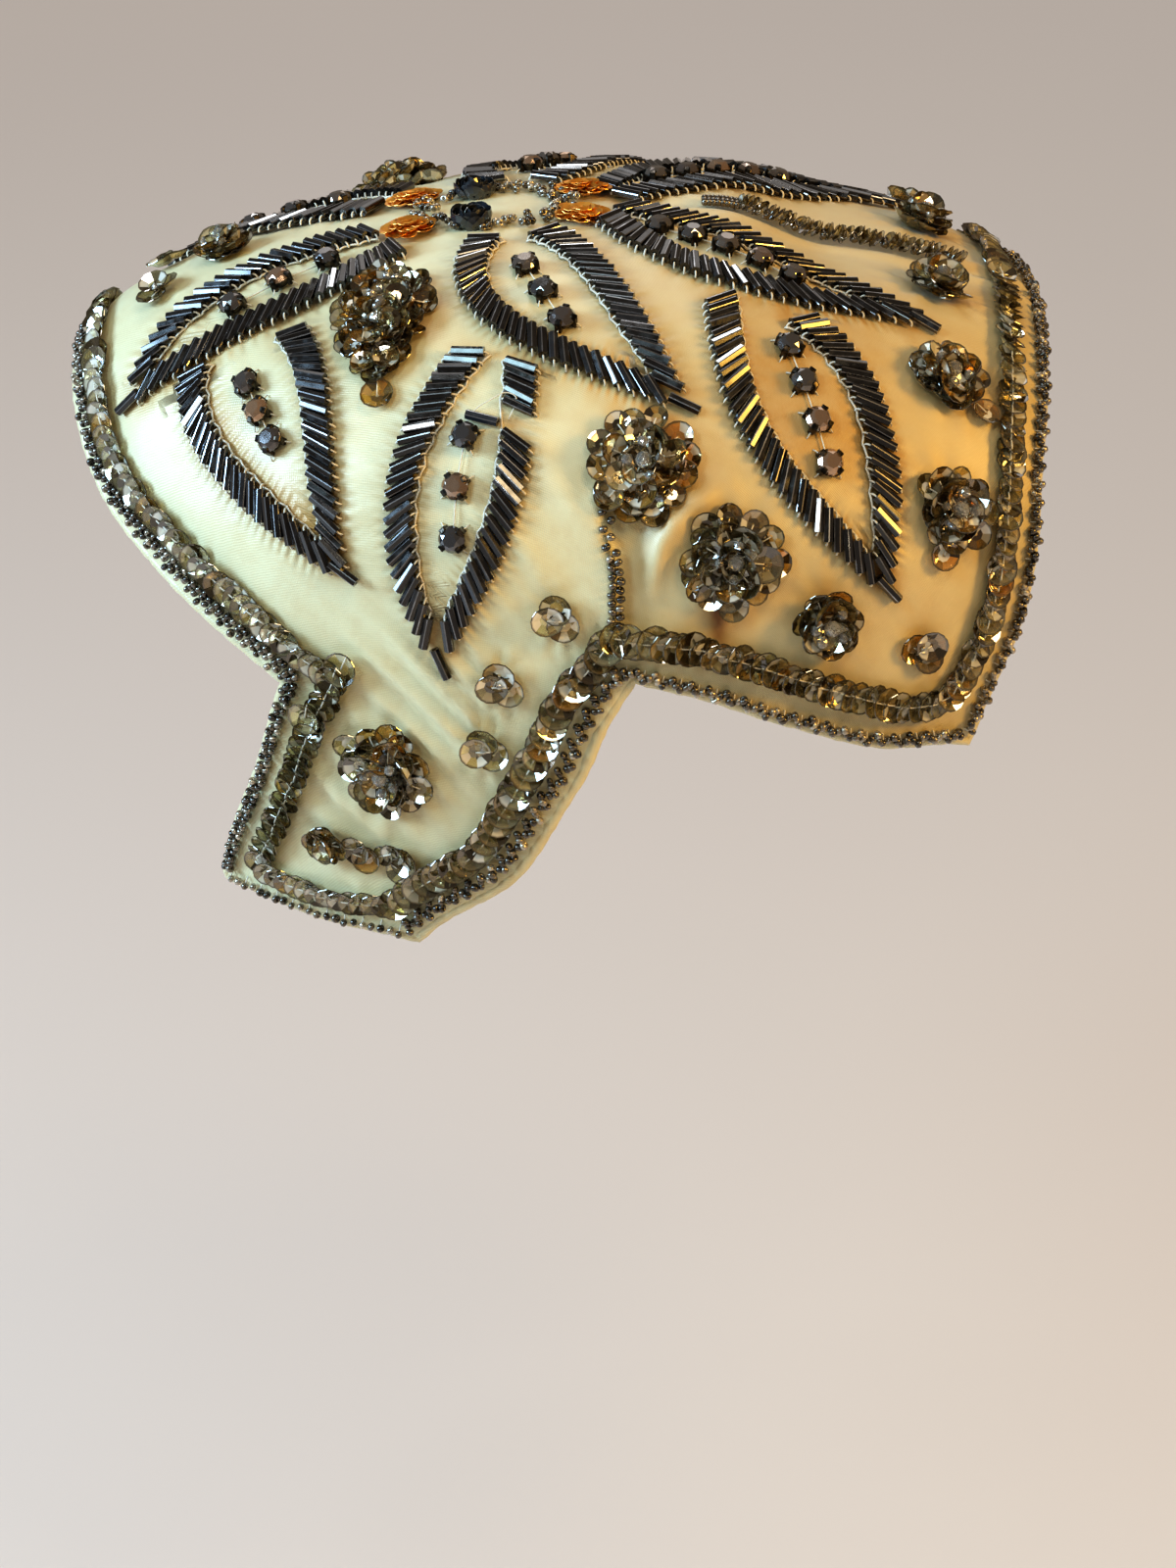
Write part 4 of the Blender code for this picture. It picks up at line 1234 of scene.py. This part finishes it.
def tube(name, path, radii, sides, material, closed=True):
    """A round tube along a path near the crown, with its own cloth map."""
    if closed:
        wrapped = np.vstack([path[-1:], path, path[:1]])
        along = unit(np.gradient(wrapped, axis=0))[1:-1]
    else:
        along = unit(np.gradient(path, axis=0))
    normal = crown_normal(path)
    normal = unit(normal - np.sum(normal * along, axis=1, keepdims=True) * along)
    across = np.cross(normal, along)
    angles = np.linspace(0.0, 2 * pi, sides, endpoint=False)
    mesh = bmesh.new()
    rings = []
    for point, a, n, radius in zip(path, across, normal, radii):
        ring = [
            mesh.verts.new(((point + radius * (cos(angle) * a + sin(angle) * n)) * MM).tolist())
            for angle in angles
        ]
        rings.append([mesh.edges.new((ring[k], ring[(k + 1) % sides])) for k in range(sides)])
    pairs = list(zip(rings, rings[1:])) + ([(rings[-1], rings[0])] if closed else [])
    for first, second in pairs:
        bmesh.ops.bridge_loops(mesh, edges=first + second)
    if not closed:
        bmesh.ops.holes_fill(mesh, edges=rings[0] + rings[-1])
    bmesh.ops.recalc_face_normals(mesh, faces=mesh.faces)
    data = mesh_data(name, mesh)
    places = np.empty(len(data.vertices) * 3, np.float32)
    data.vertices.foreach_get("co", places)
    map_cloth(data, plan_of(places.reshape(-1, 3) / MM))
    store(data, "browning_and_shade", np.full(len(data.vertices), HEM_WARMTH))
    data.shade_smooth()
    data.materials.append(material)
    worn(name, data)


def make_rolled_hem(satin):
    """The satin turned over the edge, dimpled where it is stitched."""
    runs = [path for path, _ in rim_stretches()]
    half = spread(np.vstack([run[:-1] for run in runs] + [runs[-1][-1:]]), 300)
    half[[0, -1], 0] = 0.0
    path = np.vstack([half, half[-2:0:-1] * [-1.0, 1.0, 1.0]])
    path = path - crown_normal(path) * (0.5 * WALL)
    along = along_path(path)
    radii = HEM_RADIUS + 0.07 * np.sin(along * 2 * pi / 5.3) + 0.05 * np.sin(along * 2 * pi / 3.1 + 1.0)
    tube("rolled_hem", path, radii, HEM_SIDES, satin)


# The beadwork


def bugle_row(row, hand, skip=None):
    """Places of the bugles of one row, of the threads at their ends and of the stitches between them."""
    path = row_path(row, hand)
    along = along_path(path)
    outer = hand * np.sign(row["bow"])
    places, threads, feet = [], [], []
    length = along[-1]
    low, middle, high = BUGLE_LEAN
    at = 0.6 * BUGLE_WIDTH
    while at < length - 0.35 * BUGLE_LENGTH:
        share = at / length
        lean = low + (middle - low) * smooth_step(2.2 * share)
        lean += (high - middle) * smooth_step((share - 0.62) / 0.38)
        if skip is None or abs(share - skip) > 0.035:
            point, ahead = at_lengths(path, [at, at + 0.5])
            forward, across, _ = axes_at(point, ahead - point)
            angle = radians(lean + jitter(3.0))
            toward = cos(angle) * across * outer + sin(angle) * forward
            size = 1.0 + jitter(0.035)
            lift = 0.5 * BUGLE_WIDTH + 0.12 + jitter(0.08)
            where = seat(point, toward, lift, tilt=radians(jitter(1.6)), size=size)
            spin = Matrix.Rotation(radians(30.0 + jitter(14.0)), 4, "X")
            places.append(where @ np.array(spin))
            for end in (-1.0, 1.0):
                tip = point + toward * end * (0.5 * BUGLE_LENGTH * size - 0.1)
                threads.append(seat(tip, toward * end, lift, size=1.0 + jitter(0.12)))
            foot = 0.5 * BUGLE_LENGTH + (0.3 if len(feet) % 2 else 1.05)
            feet.append(onto_crown(point - toward * foot, 0.25))
        at += BUGLE_PITCH / cos(radians(min(lean, 52.0))) * (1.0 + jitter(0.03))
    steps = [seat_between(first, second, thickness=1.5) for first, second in zip(feet, feet[1:])]
    return places, threads, steps


def tip_bugle(row, hand):
    """The last bugle of a leaf, which points along its tip."""
    path = row_path(row, hand)
    end, before = path[-1], path[-8]
    toward = unit(end - before)
    point = onto_crown(end + 0.25 * BUGLE_LENGTH * toward)
    return seat(point, toward, 0.5 * BUGLE_WIDTH + 0.15)


def make_leaf(leaf, hand, side_name, kit):
    places, loops, steps = [], [], []
    rows = leaf_rows(leaf)
    for index, row in enumerate(rows):
        skip = MISSING_BUGLE[1] if (leaf == MISSING_BUGLE[0] and index == 1) else None
        beads, ends, zigzag = bugle_row(row, hand, skip)
        places += beads
        loops += ends
        steps += zigzag
    places.append(tip_bugle(rows[0], hand))
    tones = np.clip(rng.beta(1.2, 3.5, len(places)), 0.0, 1.0)
    kinds = ((kit["bugle"], places, tones, 0), (kit["loop"], loops, 0.5, 2), (kit["stitch"], steps, 0.5, 2))
    materials = (kit["bugle_glass"], kit["bugle_edge"], kit["thread"])
    sewn(f"{leaf}_beadwork_{side_name}", kinds, materials, [f"{leaf}_bugles_{side_name}"])


def make_stones(row, hand, side_name, kit):
    line = dict(zip(STONE_COLUMNS, row))
    start = np.array([line["start_front"], line["start_side"]])
    end = np.array([line["end_front"], line["end_side"]])
    t = np.linspace(0.0, 1.0, 40)[:, None]
    plan = start * (1 - t) + end * t
    seats = spread(place(plan[:, 0], hand * plan[:, 1]), line["count"] - 1)
    ahead = seats[1] - seats[0]
    places, threads = [], []
    for point in seats:
        along, across, _ = axes_at(point, ahead)
        turn = radians(jitter(14.0))
        toward = cos(turn) * along + sin(turn) * across
        places.append(seat(point, toward, 0.3, tilt=radians(jitter(3.0)), roll=radians(jitter(3.0))))
        for angle in (pi / 4, 3 * pi / 4, 5 * pi / 4, 7 * pi / 4):
            out = cos(angle) * toward + sin(angle) * unit(np.cross(crown_normal(point), toward))
            claw, foot = onto_crown(point + 2.0 * out, 1.0), onto_crown(point + 3.6 * out, 0.05)
            threads.append(seat_between(claw, foot))
    for first, second in zip(seats, seats[1:]):
        threads.append(seat_between(onto_crown(first, 0.7), onto_crown(second, 0.7)))
    tones = rng.uniform(0.0, 1.0, len(places))
    kinds = (
        (kit["stone"], places, tones, 0),
        (kit["setting"], places, 0.5, 1),
        (kit["stitch"], threads, 0.5, 2),
    )
    name = f"{line['leaf']}_stone_row_{side_name}"
    materials = (kit["stone_glass"], kit["metal"], kit["thread"])
    sewn(name, kinds, materials, [f"{line['leaf']}_stones_{side_name}"])


def sequin_on(point, toward, lift, tilt, size=1.0, twist=7.0):
    """The places of one sequin and of the stitch that holds it, from its hole to its far rim."""
    radius = SEQUIN_RADIUS * size
    where = seat(point, toward, lift, tilt=tilt, roll=radians(jitter(twist)), size=radius)
    hole = (where @ [0.0, 0.0, 0.12, 1.0])[:3]
    rim = (where @ [-1.02, 0.0, 0.28, 1.0])[:3]
    return where, seat_between(hole, rim, thickness=0.9)


def blossom_ring(centre, axes, reach, count, tilt, lift, size, start=0.0, loose=18.0):
    """Sequins round a centre: their places and stitches. "loose" is how unevenly they lean, in degrees."""
    made = []
    for index in range(count):
        angle = start + 2 * pi * (index + jitter(0.28)) / count
        out = cos(angle) * axes[0] * reach[0] + sin(angle) * axes[1] * reach[1]
        point = onto_crown(centre + out * (1.0 + jitter(0.10)))
        lean = radians(tilt) + radians(jitter(loose))
        height = lift + jitter(0.02 * loose)
        made.append(sequin_on(point, out, height, lean, size * (1 + jitter(0.14)), twist=loose))
    return made


def flower_at(row, hand):
    """A blossom's values, its middle on the crown and the directions along and across it."""
    flower = dict(zip(BLOSSOM_COLUMNS, row))
    centre = place(flower["front"], hand * flower["side"])
    turn = radians(flower["heading"])
    ahead = place(flower["front"] + cos(turn), hand * (flower["side"] + sin(turn))) - centre
    along, across, _ = axes_at(centre, ahead)
    return flower, centre, along, across


def make_blossom(row, hand, name, kit):
    """A round blossom: flat sequins outside, others standing up round a crystal inside."""
    flower, centre, along, across = flower_at(row, hand)
    reach = [flower[side] / 2 - 0.85 * SEQUIN_RADIUS for side in ("length", "width")]
    outer = max(6, round(pi * sum(reach) / RING_SPACING))
    counts = {"under": outer, "outer": outer, "upper": max(5, round(0.62 * outer))}
    made = []
    for ring, count in counts.items():
        ring_reach = [RING_SHARES[ring] * size for size in reach]
        made += blossom_ring(centre, (along, across), ring_reach, count, *RINGS[ring])
    made += blossom_ring(centre, (along, across), (INNER_REACH, INNER_REACH), INNER_COUNT, *RINGS["inner"])
    for front, side in HANGING_SEQUINS.get(flower["name"], ()):
        spot = place(front, hand * side)
        made.append(sequin_on(spot, spot - centre, 0.8, radians(10.0 + jitter(10.0)), 0.92))
    crystals = [seat(centre, along, 3.9, size=1.6)]
    for index in range(4):
        angle = 2 * pi * (index + jitter(0.3)) / 4
        spot = onto_crown(centre + CRYSTAL_REACH * (cos(angle) * along + sin(angle) * across))
        crystals.append(seat(spot, along, 4.0 + jitter(0.4), size=1.0 + jitter(0.2)))
    finish_blossom(flower, made, crystals, name, kit, shaded=outer)


def sequin_tones(middle, count, amber=0.28, dark=0.20):
    """Most sequins keep near one tone; these shares of them are much more amber or much darker."""
    tones = middle + rng.normal(0.0, 0.12, count)
    stray = rng.uniform(0.0, 1.0, count)
    tones = np.where(stray < amber, rng.uniform(0.0, 0.15, count), tones)
    tones = np.where(stray > 1.0 - dark, rng.uniform(0.8, 1.0, count), tones)
    return np.clip(tones, 0.0, 1.0)


def finish_blossom(flower, made, crystals, name, kit, shaded=0, solid=True):
    """Joins a blossom's sequins. The first of them, as many as "shaded", are given a darker tone as painted
    shade beneath the blossom.
    """
    tones = sequin_tones(flower["tone"], len(made))
    tones[:shaded] = SHADED_TONE
    sew_blossom(name, made, tones, crystals, kit, [name] if solid else [])


def sew_blossom(name, made, tones, crystals, kit, nodes):
    kinds = (
        (kit["sequin"], [where for where, _ in made], tones, 0),
        (kit["stitch"], [thread for _, thread in made], 0.5, 1),
        (kit["crystal"], crystals, 0.75, 2),
    )
    sewn(f"{name}_sequins", kinds, (kit["film"], kit["thread"], kit["clear"]), nodes)


def make_trio(row, hand, name, kit, solid=True):
    """Three sequins that overlap, with a bead where they meet."""
    flower, centre, along, across = flower_at(row, hand)
    made = []
    for index, (down, over, lift) in enumerate(TRIO_SEQUINS):
        point = onto_crown(centre + down * along + over * hand * across)
        toward = cos(2.1 * index) * along + sin(2.1 * index) * across
        made.append(sequin_on(point, toward, lift, radians(8.0 + jitter(8.0)), 0.98))
    finish_blossom(flower, made, [seat(centre, along, 1.6, size=0.7)], name, kit, solid=solid)


def make_grapes(row, hand, name, kit):
    """A bunch of sequins, wide at the hub, painted dark along its back side as shade, and narrowing to one at
    its tip.
    """
    flower, centre, along, across = flower_at(row, hand)
    back = hand * across
    made, tones = [], []
    for layer, shrink in GRAPE_LAYERS:
        for index in range(GRAPE_ROWS):
            share = index / (GRAPE_ROWS - 1)
            if share > 0.75 and layer == 2:
                continue
            down = (share - 0.5) * (flower["length"] - 1.6 * SEQUIN_RADIUS)
            half = 0.58 * flower["width"] * shrink * np.interp(share, *GRAPES_OUTLINE) - 0.5 * SEQUIN_RADIUS
            count = max(1, round(2 * half / 2.9) + 1)
            for k in range(count):
                over = (2 * k / max(1, count - 1) - 1.0) * half if count > 1 else jitter(0.6)
                point = onto_crown(centre + (down + jitter(0.7)) * along + (over + jitter(0.5)) * back)
                toward = (over + jitter(5.0)) * back + (down + jitter(7.0)) * along
                lift = 0.7 + 1.1 * layer + jitter(0.3)
                tilt = radians(16.0 + 16.0 * layer + jitter(26.0))
                made.append(sequin_on(point, toward, lift, tilt, 0.76 + jitter(0.08), twist=28.0))
                # Tones darken towards the bunch's back side, as painted shade
                if layer:
                    tones.append(sequin_tones(0.30 + 0.13 * over, 1, amber=0.15, dark=0.06)[0])
                else:
                    tones.append(0.98 if over > 1.5 else 0.30)
    tip = place(GRAPES_TIP[0], hand * GRAPES_TIP[1])
    made.append(sequin_on(tip, along, 0.6, radians(5.0), 1.0))
    tones.append(0.05)
    crystals = []
    for index in range(GRAPE_CRYSTALS):
        spot = onto_crown(centre + (-10.0 + 1.7 * index + jitter(0.8)) * along + jitter(3.0) * across)
        crystals.append(seat(spot, along, 4.0 + jitter(0.4), size=1.05 + jitter(0.2)))
    sew_blossom(name, made, np.clip(tones, 0.0, 1.0), crystals, kit, [name])


def make_flap_hem_blossom(row, hand, name, kit):
    """A smoky half blossom with a tail of single sequins."""
    flower, centre, along, across = flower_at(row, hand)
    head = onto_crown(centre + SMOKY_HEAD * along)
    made = blossom_ring(head, (along, across), (2.7, 2.4), 8, *RINGS["smoky_outer"])
    made += blossom_ring(head, (along, across), (1.0, 1.0), 3, *RINGS["smoky_inner"])
    for down, over, lift, size in SMOKY_TAIL:
        point = onto_crown(centre + down * along + over * hand * across)
        made.append(sequin_on(point, along + jitter(1.0) * across, lift, radians(10.0 + jitter(10.0)), size))
    finish_blossom(flower, made, [seat(head, along, 2.6)], name, kit)


def along_rim(path):
    """Each step of a row inside the rim, on both sides: its index, hand, point and run to the next."""
    for index, (point, ahead) in enumerate(zip(path, path[1:])):
        for hand in (1.0, -1.0):
            flip = [hand, 1.0, 1.0]
            yield index, hand, point * flip, ahead * flip - point * flip


def make_edge_sequins(kit):
    """Sequins lapped along the rim like shingles, with one line of stitches down their middle."""
    places, stitches, tones = [], [], []
    for name, run in zip(STRETCHES, row_inside_rim(1)):
        count = max(2, round(along_path(run)[-1] / EDGE_SEQUIN_PITCH))
        outward = EDGE_SEQUIN_SHIFT.get(name, 0.0)
        size = EDGE_SEQUIN_SIZE[name] * SEQUIN_RADIUS
        for index, hand, point, step in along_rim(spread(run, count)):
            _, across, _ = axes_at(point, step)
            shift = jitter(0.25) - outward * hand * sin(pi * (index + 0.5) / count) ** 0.5
            spot = onto_crown(point + shift * across)
            lift = 0.95 + jitter(0.12)
            tilt, roll = radians(17.0 + jitter(10.0)), radians(jitter(15.0))
            places.append(seat(spot, -step, lift, tilt=tilt, roll=roll, size=size * (1.0 + jitter(0.06))))
            tones.append(sequin_tones(EDGE_SEQUIN_TONE[name], 1, amber=0.07, dark=0.10)[0])
            stitches.append(seat_between(onto_crown(spot, 1.75), onto_crown(spot + 0.97 * step, 1.55)))
    for front, side in EDGE_END_SEQUINS:
        for hand in (1.0, -1.0):
            spot = place(front, hand * side)
            toward = place(front + 1.0, hand * side) - spot
            where, thread = sequin_on(spot, toward, 1.3, radians(jitter(10.0)), 1.08)
            places.append(where)
            stitches.append(thread)
            tones.append(0.45)
    kinds = ((kit["sequin"], places, np.clip(tones, 0.0, 1.0), 0), (kit["stitch"], stitches, 0.5, 1))
    sewn("rim_sequins", kinds, (kit["film"], kit["thread"]), ["edge_sequins"])


def make_edge_beads(kit):
    """Seed beads sewn along the rim in small slanted groups, in a wider band round the brow."""
    places, stitches = [], []
    for name, run in zip(STRETCHES, row_inside_rim(0)):
        swings, pitch = EDGE_BEAD_GROUPS[name]
        count = max(2, round(along_path(run)[-1] / pitch))
        for index, hand, point, step in along_rim(spread(run, count)):
            step = unit(step)
            _, across, _ = axes_at(point, step)
            swing = swings[index % len(swings)] * hand
            spot = onto_crown(point + (swing + jitter(0.14)) * across + jitter(0.10) * step)
            toward = step + jitter(0.9) * across
            size = EDGE_BEAD_RADIUS * (1.0 + jitter(0.12))
            raised = 0.4 if index % 3 == 2 else 0.0
            places.append(seat(spot, toward, size + 0.2 + raised, tilt=jitter(0.5), size=size))
            if index % len(swings) == 0:
                base = onto_crown(spot + 1.6 * hand * across, 0.1)
                stitches.append(seat_between(onto_crown(spot, 1.2), base))
    tones = rng.beta(1.1, 1.6, len(places))
    kinds = ((kit["bead"], places, tones, 0), (kit["stitch"], stitches, 0.5, 1))
    sewn("rim_beads", kinds, (kit["bead_glass"], kit["thread"]), ["edge_beads"])


def make_rosette(kit):
    """Six discs round the hub, each of small sequins lapped in rings, and the beads between them."""
    places, tones, beads = {True: [], False: []}, {True: [], False: []}, []
    for turn, down, is_copper in DISCS:
        for hand in (1.0, -1.0):
            front, side = down * cos(radians(turn)), hand * down * sin(radians(turn))
            centre = place(front, side)
            axes = axes_at(centre, place(front + 1.0, side) - centre)
            for reach, count, lift, tilt in COPPER_RINGS if is_copper else DARK_RINGS:
                values = (count, tilt, lift, DISC_SEQUIN, reach, 7.0)
                ring = blossom_ring(centre, axes, (reach, reach), *values)
                places[is_copper] += [where for where, _ in ring]
                tones[is_copper] += list(rng.uniform(*DISC_TONES[is_copper], len(ring)))
    for index in range(ROSETTE_BEADS):
        angle = 2 * pi * index / ROSETTE_BEADS
        reach = ROSETTE_REACH + jitter(2.6)
        point = place(reach * cos(angle), reach * sin(angle) * 0.8)
        toward = LEFT + jitter(0.8) * FORWARD
        beads.append(seat(point, toward, 1.1 + jitter(0.3), tilt=jitter(0.6), size=0.82))
    kinds = (
        (kit["sequin"], places[True], tones[True], 0),
        (kit["sequin"], places[False], tones[False], 1),
        (kit["bead"], beads, rng.uniform(0.0, 1.0, len(beads)), 2),
    )
    materials = (kit["copper"], kit["bugle_glass"], kit["bead_glass"])
    sewn("hub_rosette_sequins", kinds, materials, ["hub_rosette"])


def make_bead_line(name, node, marks, hand, kit):
    """A close double row of dark beads along a dart."""
    plan = curve_through(marks, 10)
    path = place(plan[:, 0], hand * plan[:, 1])
    length = along_path(path)[-1]
    places = []
    at = 0.8
    while at < length - 0.5:
        point, ahead = at_lengths(path, [at, at + 0.4])
        step = unit(ahead - point)
        _, across, _ = axes_at(point, step)
        swing = 0.72 if len(places) % 2 else -0.72
        spot = onto_crown(point + (swing + jitter(0.15)) * across)
        places.append(seat(spot, step + jitter(0.8) * across, 1.1 + jitter(0.15), tilt=jitter(0.5), size=0.9))
        at += 0.82 if at > 0.35 * length else 1.5
    kinds = ((kit["bead"], places, rng.beta(1.2, 2.2, len(places)), 0),)
    sewn(name, kinds, (kit["bead_glass"],), [node])


def make_seam_trim(kit):
    """Smoky sequins stood on edge along the back seam, with a pair of beads in place of every seventh and
    along its first stretch.
    """
    plan = curve_through(SEAM, 12)
    path = place(plan[:, 0], plan[:, 1])
    length = along_path(path)[-1]
    places, beads = [], []
    for index, at in enumerate(np.arange(0.8, length - 0.4, SEAM_SEQUIN_PITCH)):
        point, ahead = at_lengths(path, [at, at + 0.4])
        step = unit(ahead - point)
        _, across, _ = axes_at(point, step)
        if at < 0.14 * length or index % 7 == 0:
            for swing in (-0.9, 0.9):
                beads.append(seat(onto_crown(point + swing * across), step, 1.1, tilt=jitter(0.5), size=0.9))
        else:
            tilt = radians(66.0 + jitter(14.0))
            lift = 1.5 + jitter(0.2)
            places.append(seat(point, step, lift, tilt=tilt, roll=jitter(0.2), size=0.6 * SEQUIN_RADIUS))
    kinds = ((kit["sequin"], places, rng.uniform(0.6, 1.0, len(places)), 0), (kit["bead"], beads, 0.4, 1))
    sewn("back_seam_sequins", kinds, (kit["film"], kit["bead_glass"]), ["back_seam_trim"])


def make_loose_ends(kit):
    """A bugle that has come loose in the left side leaf, and its thread."""
    start, end = [place(front, side) for front, side in LOOSE_BUGLE]
    kinds = ((kit["bugle"], [seat(onto_crown((start + end) / 2.0), end - start, 1.1)], 0.9, 0),)
    sewn("loose_bugle", kinds, (kit["bugle_glass"], kit["bugle_edge"]))
    marks = curve_through(LOOSE_THREAD, 6)
    path = place(marks[:, 0], marks[:, 1], 0.5 + 1.6 * np.sin(np.linspace(0.0, pi, len(marks))))
    radii = np.full(len(path), LOOSE_THREAD_RADIUS)
    tube("loose_thread", path, radii, 6, kit["thread"], closed=False)


def put_in_scene(name, data):
    made = bpy.data.objects.new(name, data)
    bpy.context.scene.collection.objects.link(made)
    return made


def look_along(thing, direction):
    thing.rotation_euler = Vector(direction).to_track_quat("-Z", "Y").to_euler()


def make_floor():
    mesh = bmesh.new()
    bmesh.ops.create_grid(mesh, x_segments=1, y_segments=1, size=FLOOR_REACH)
    moved(mesh, mesh.verts, 0.0, 0.0, -FLOOR_DROP)
    data = mesh_data("floor", mesh)
    material, tree = new_material(
        "pale_floor", Roughness=0.9, Emission_Color=rgb(FLOOR_GLOW), Emission_Strength=FLOOR_GLOW_STRENGTH
    )
    shade = noise(tree, millimetres(tree), 0.002)
    data.materials.append(dress(material, Base_Color=mixed(tree, shade, *FLOOR_COLOURS)))
    floor = put_in_scene("floor", data)


def make_lights():
    for row in LIGHTS:
        named = dict(zip(LIGHT_COLUMNS, row))
        lamp = bpy.data.lights.new(named["name"], "AREA")
        lamp.shape = "SQUARE"
        lamp.size = named["size"]
        lamp.energy = named["watts"]
        lamp.color = named["colour"]
        light = put_in_scene(named["name"], lamp)
        light.location = named["place"]
        look_along(light, Vector(named["aim"]) - Vector(named["place"]))


def make_room():
    """Faint warm light from all round; the camera sees a plain pale room."""
    world = bpy.data.worlds.new("soft_room")
    world.use_nodes = True
    tree = world.node_tree
    backdrop = tree.nodes["Background"]
    backdrop.inputs["Color"].default_value = rgb(ROOM_LIGHT)
    backdrop.inputs["Strength"].default_value = ROOM_LIGHT_STRENGTH
    seen = add(tree, "ShaderNodeBackground", {"Color": rgb(ROOM_TONE), "Strength": 1.0}).outputs[0]
    straight = add(tree, "ShaderNodeLightPath").outputs["Is Camera Ray"]
    room = add(tree, "ShaderNodeMixShader", {0: straight, 1: backdrop.outputs[0], 2: seen}).outputs[0]
    tree.links.new(room, tree.nodes["World Output"].inputs["Surface"])
    bpy.context.scene.world = world
    bpy.context.scene.view_settings.view_transform = "Standard"
    bpy.context.scene.view_settings.look = "High Contrast"


def make_camera():
    lens = bpy.data.cameras.new("camera")
    lens.lens = CAMERA_LENS
    lens.sensor_width = SENSOR_WIDTH
    camera = put_in_scene("camera", lens)
    camera.location = CAMERA_PLACE
    look_along(camera, (-cos(CAMERA_PITCH), 0.0, -sin(CAMERA_PITCH)))
    bpy.context.scene.camera = camera


def main():
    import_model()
    weave, blotches, tint = weave_group(), blotch_group(), tint_group()
    satin = satin_material(weave, blotches)
    shapes = {
        "sequin": cup_sequin(),
        "stitch": stitch(),
        "crystal": crystal(),
        "bead": seed_bead(),
        "bugle": bugle_bead(),
        "loop": thread_loop(),
        "stone": cut_stone(),
        "setting": claw_setting(),
    }
    kit = {
        **shapes,
        "bugle_glass": bugle_material(tint, blotches),
        # Pale metal on the bugles' softened edges, a painted highlight along each
        "bugle_edge": rubbed_material(
            "bugle_edge_glint", blotches, 3.0, 0.4, EDGE_GLINT_COLOURS, (0.18, 0.32),
            Metallic=0.9, Coat_Weight=1.0, Coat_Roughness=0.05,
        ),
        "stone_glass": toned_material(
            "smoky_stone", tint, STONE_COLOURS, 0.8, 2.0, (0.03, 0.12),
            Metallic=0.75, Coat_Weight=1.0, Coat_Roughness=0.02,
        ),
        "metal": rubbed_material(
            "blackened_setting", blotches, 1.2, 0.7, SETTING_COLOURS, (0.42, 0.25), Metallic=0.9
        ),
        "film": sequin_material(tint),
        "clear": crystal_material(),
        "copper": toned_material(
            "copper_sequin", tint, COPPER_COLOURS, 0.7, 3.0, (0.20, 0.42),
            Metallic=0.65, Coat_Weight=0.4, Coat_Roughness=0.15,
        ),
        "bead_glass": toned_material(
            "clear_grey_bead", tint, BEAD_COLOURS, 0.9, 2.0, (0.06, 0.20),
            Metallic=0.55, Coat_Weight=1.0, Coat_Roughness=0.0, Coat_IOR=1.7,
        ),
        "thread": thread_material(weave),
    }
    make_floor()
    make_lights()
    make_room()
    make_camera()
    make_crown(satin, lining_material(weave, blotches))
    make_rolled_hem(satin)
    make_edge_sequins(kit)
    make_edge_beads(kit)
    make_rosette(kit)
    make_seam_trim(kit)
    make_loose_ends(kit)
    make_blossom(BROW_BLOSSOM, 1.0, BROW_BLOSSOM[0], kit)
    for side_name, hand in (("left", 1.0), ("right", -1.0)):
        for leaf in LEAVES:
            make_leaf(leaf, hand, side_name, kit)
        for row in STONES:
            make_stones(row, hand, side_name, kit)
        for row in BLOSSOMS:
            make_blossom(row, hand, f"{row[0]}_{side_name}", kit)
        for row in TRIOS:
            make_trio(row, hand, f"{row[0]}_{side_name}", kit)
        make_grapes(GRAPES, hand, f"{GRAPES[0]}_{side_name}", kit)
        make_flap_hem_blossom(FLAP_HEM_BLOSSOM, hand, f"{FLAP_HEM_BLOSSOM[0]}_{side_name}", kit)
        make_bead_line(f"dart_line_{side_name}", f"dart_beads_{side_name}", DART, hand, kit)
    for side_name, hand in (("left", 1.0), ("right", -1.0)):
        make_trio(BROW_TRIO, hand, f"{BROW_TRIO[0]}_{side_name}", kit, solid=False)
    for shape in shapes.values():
        bpy.data.meshes.remove(shape)


main()
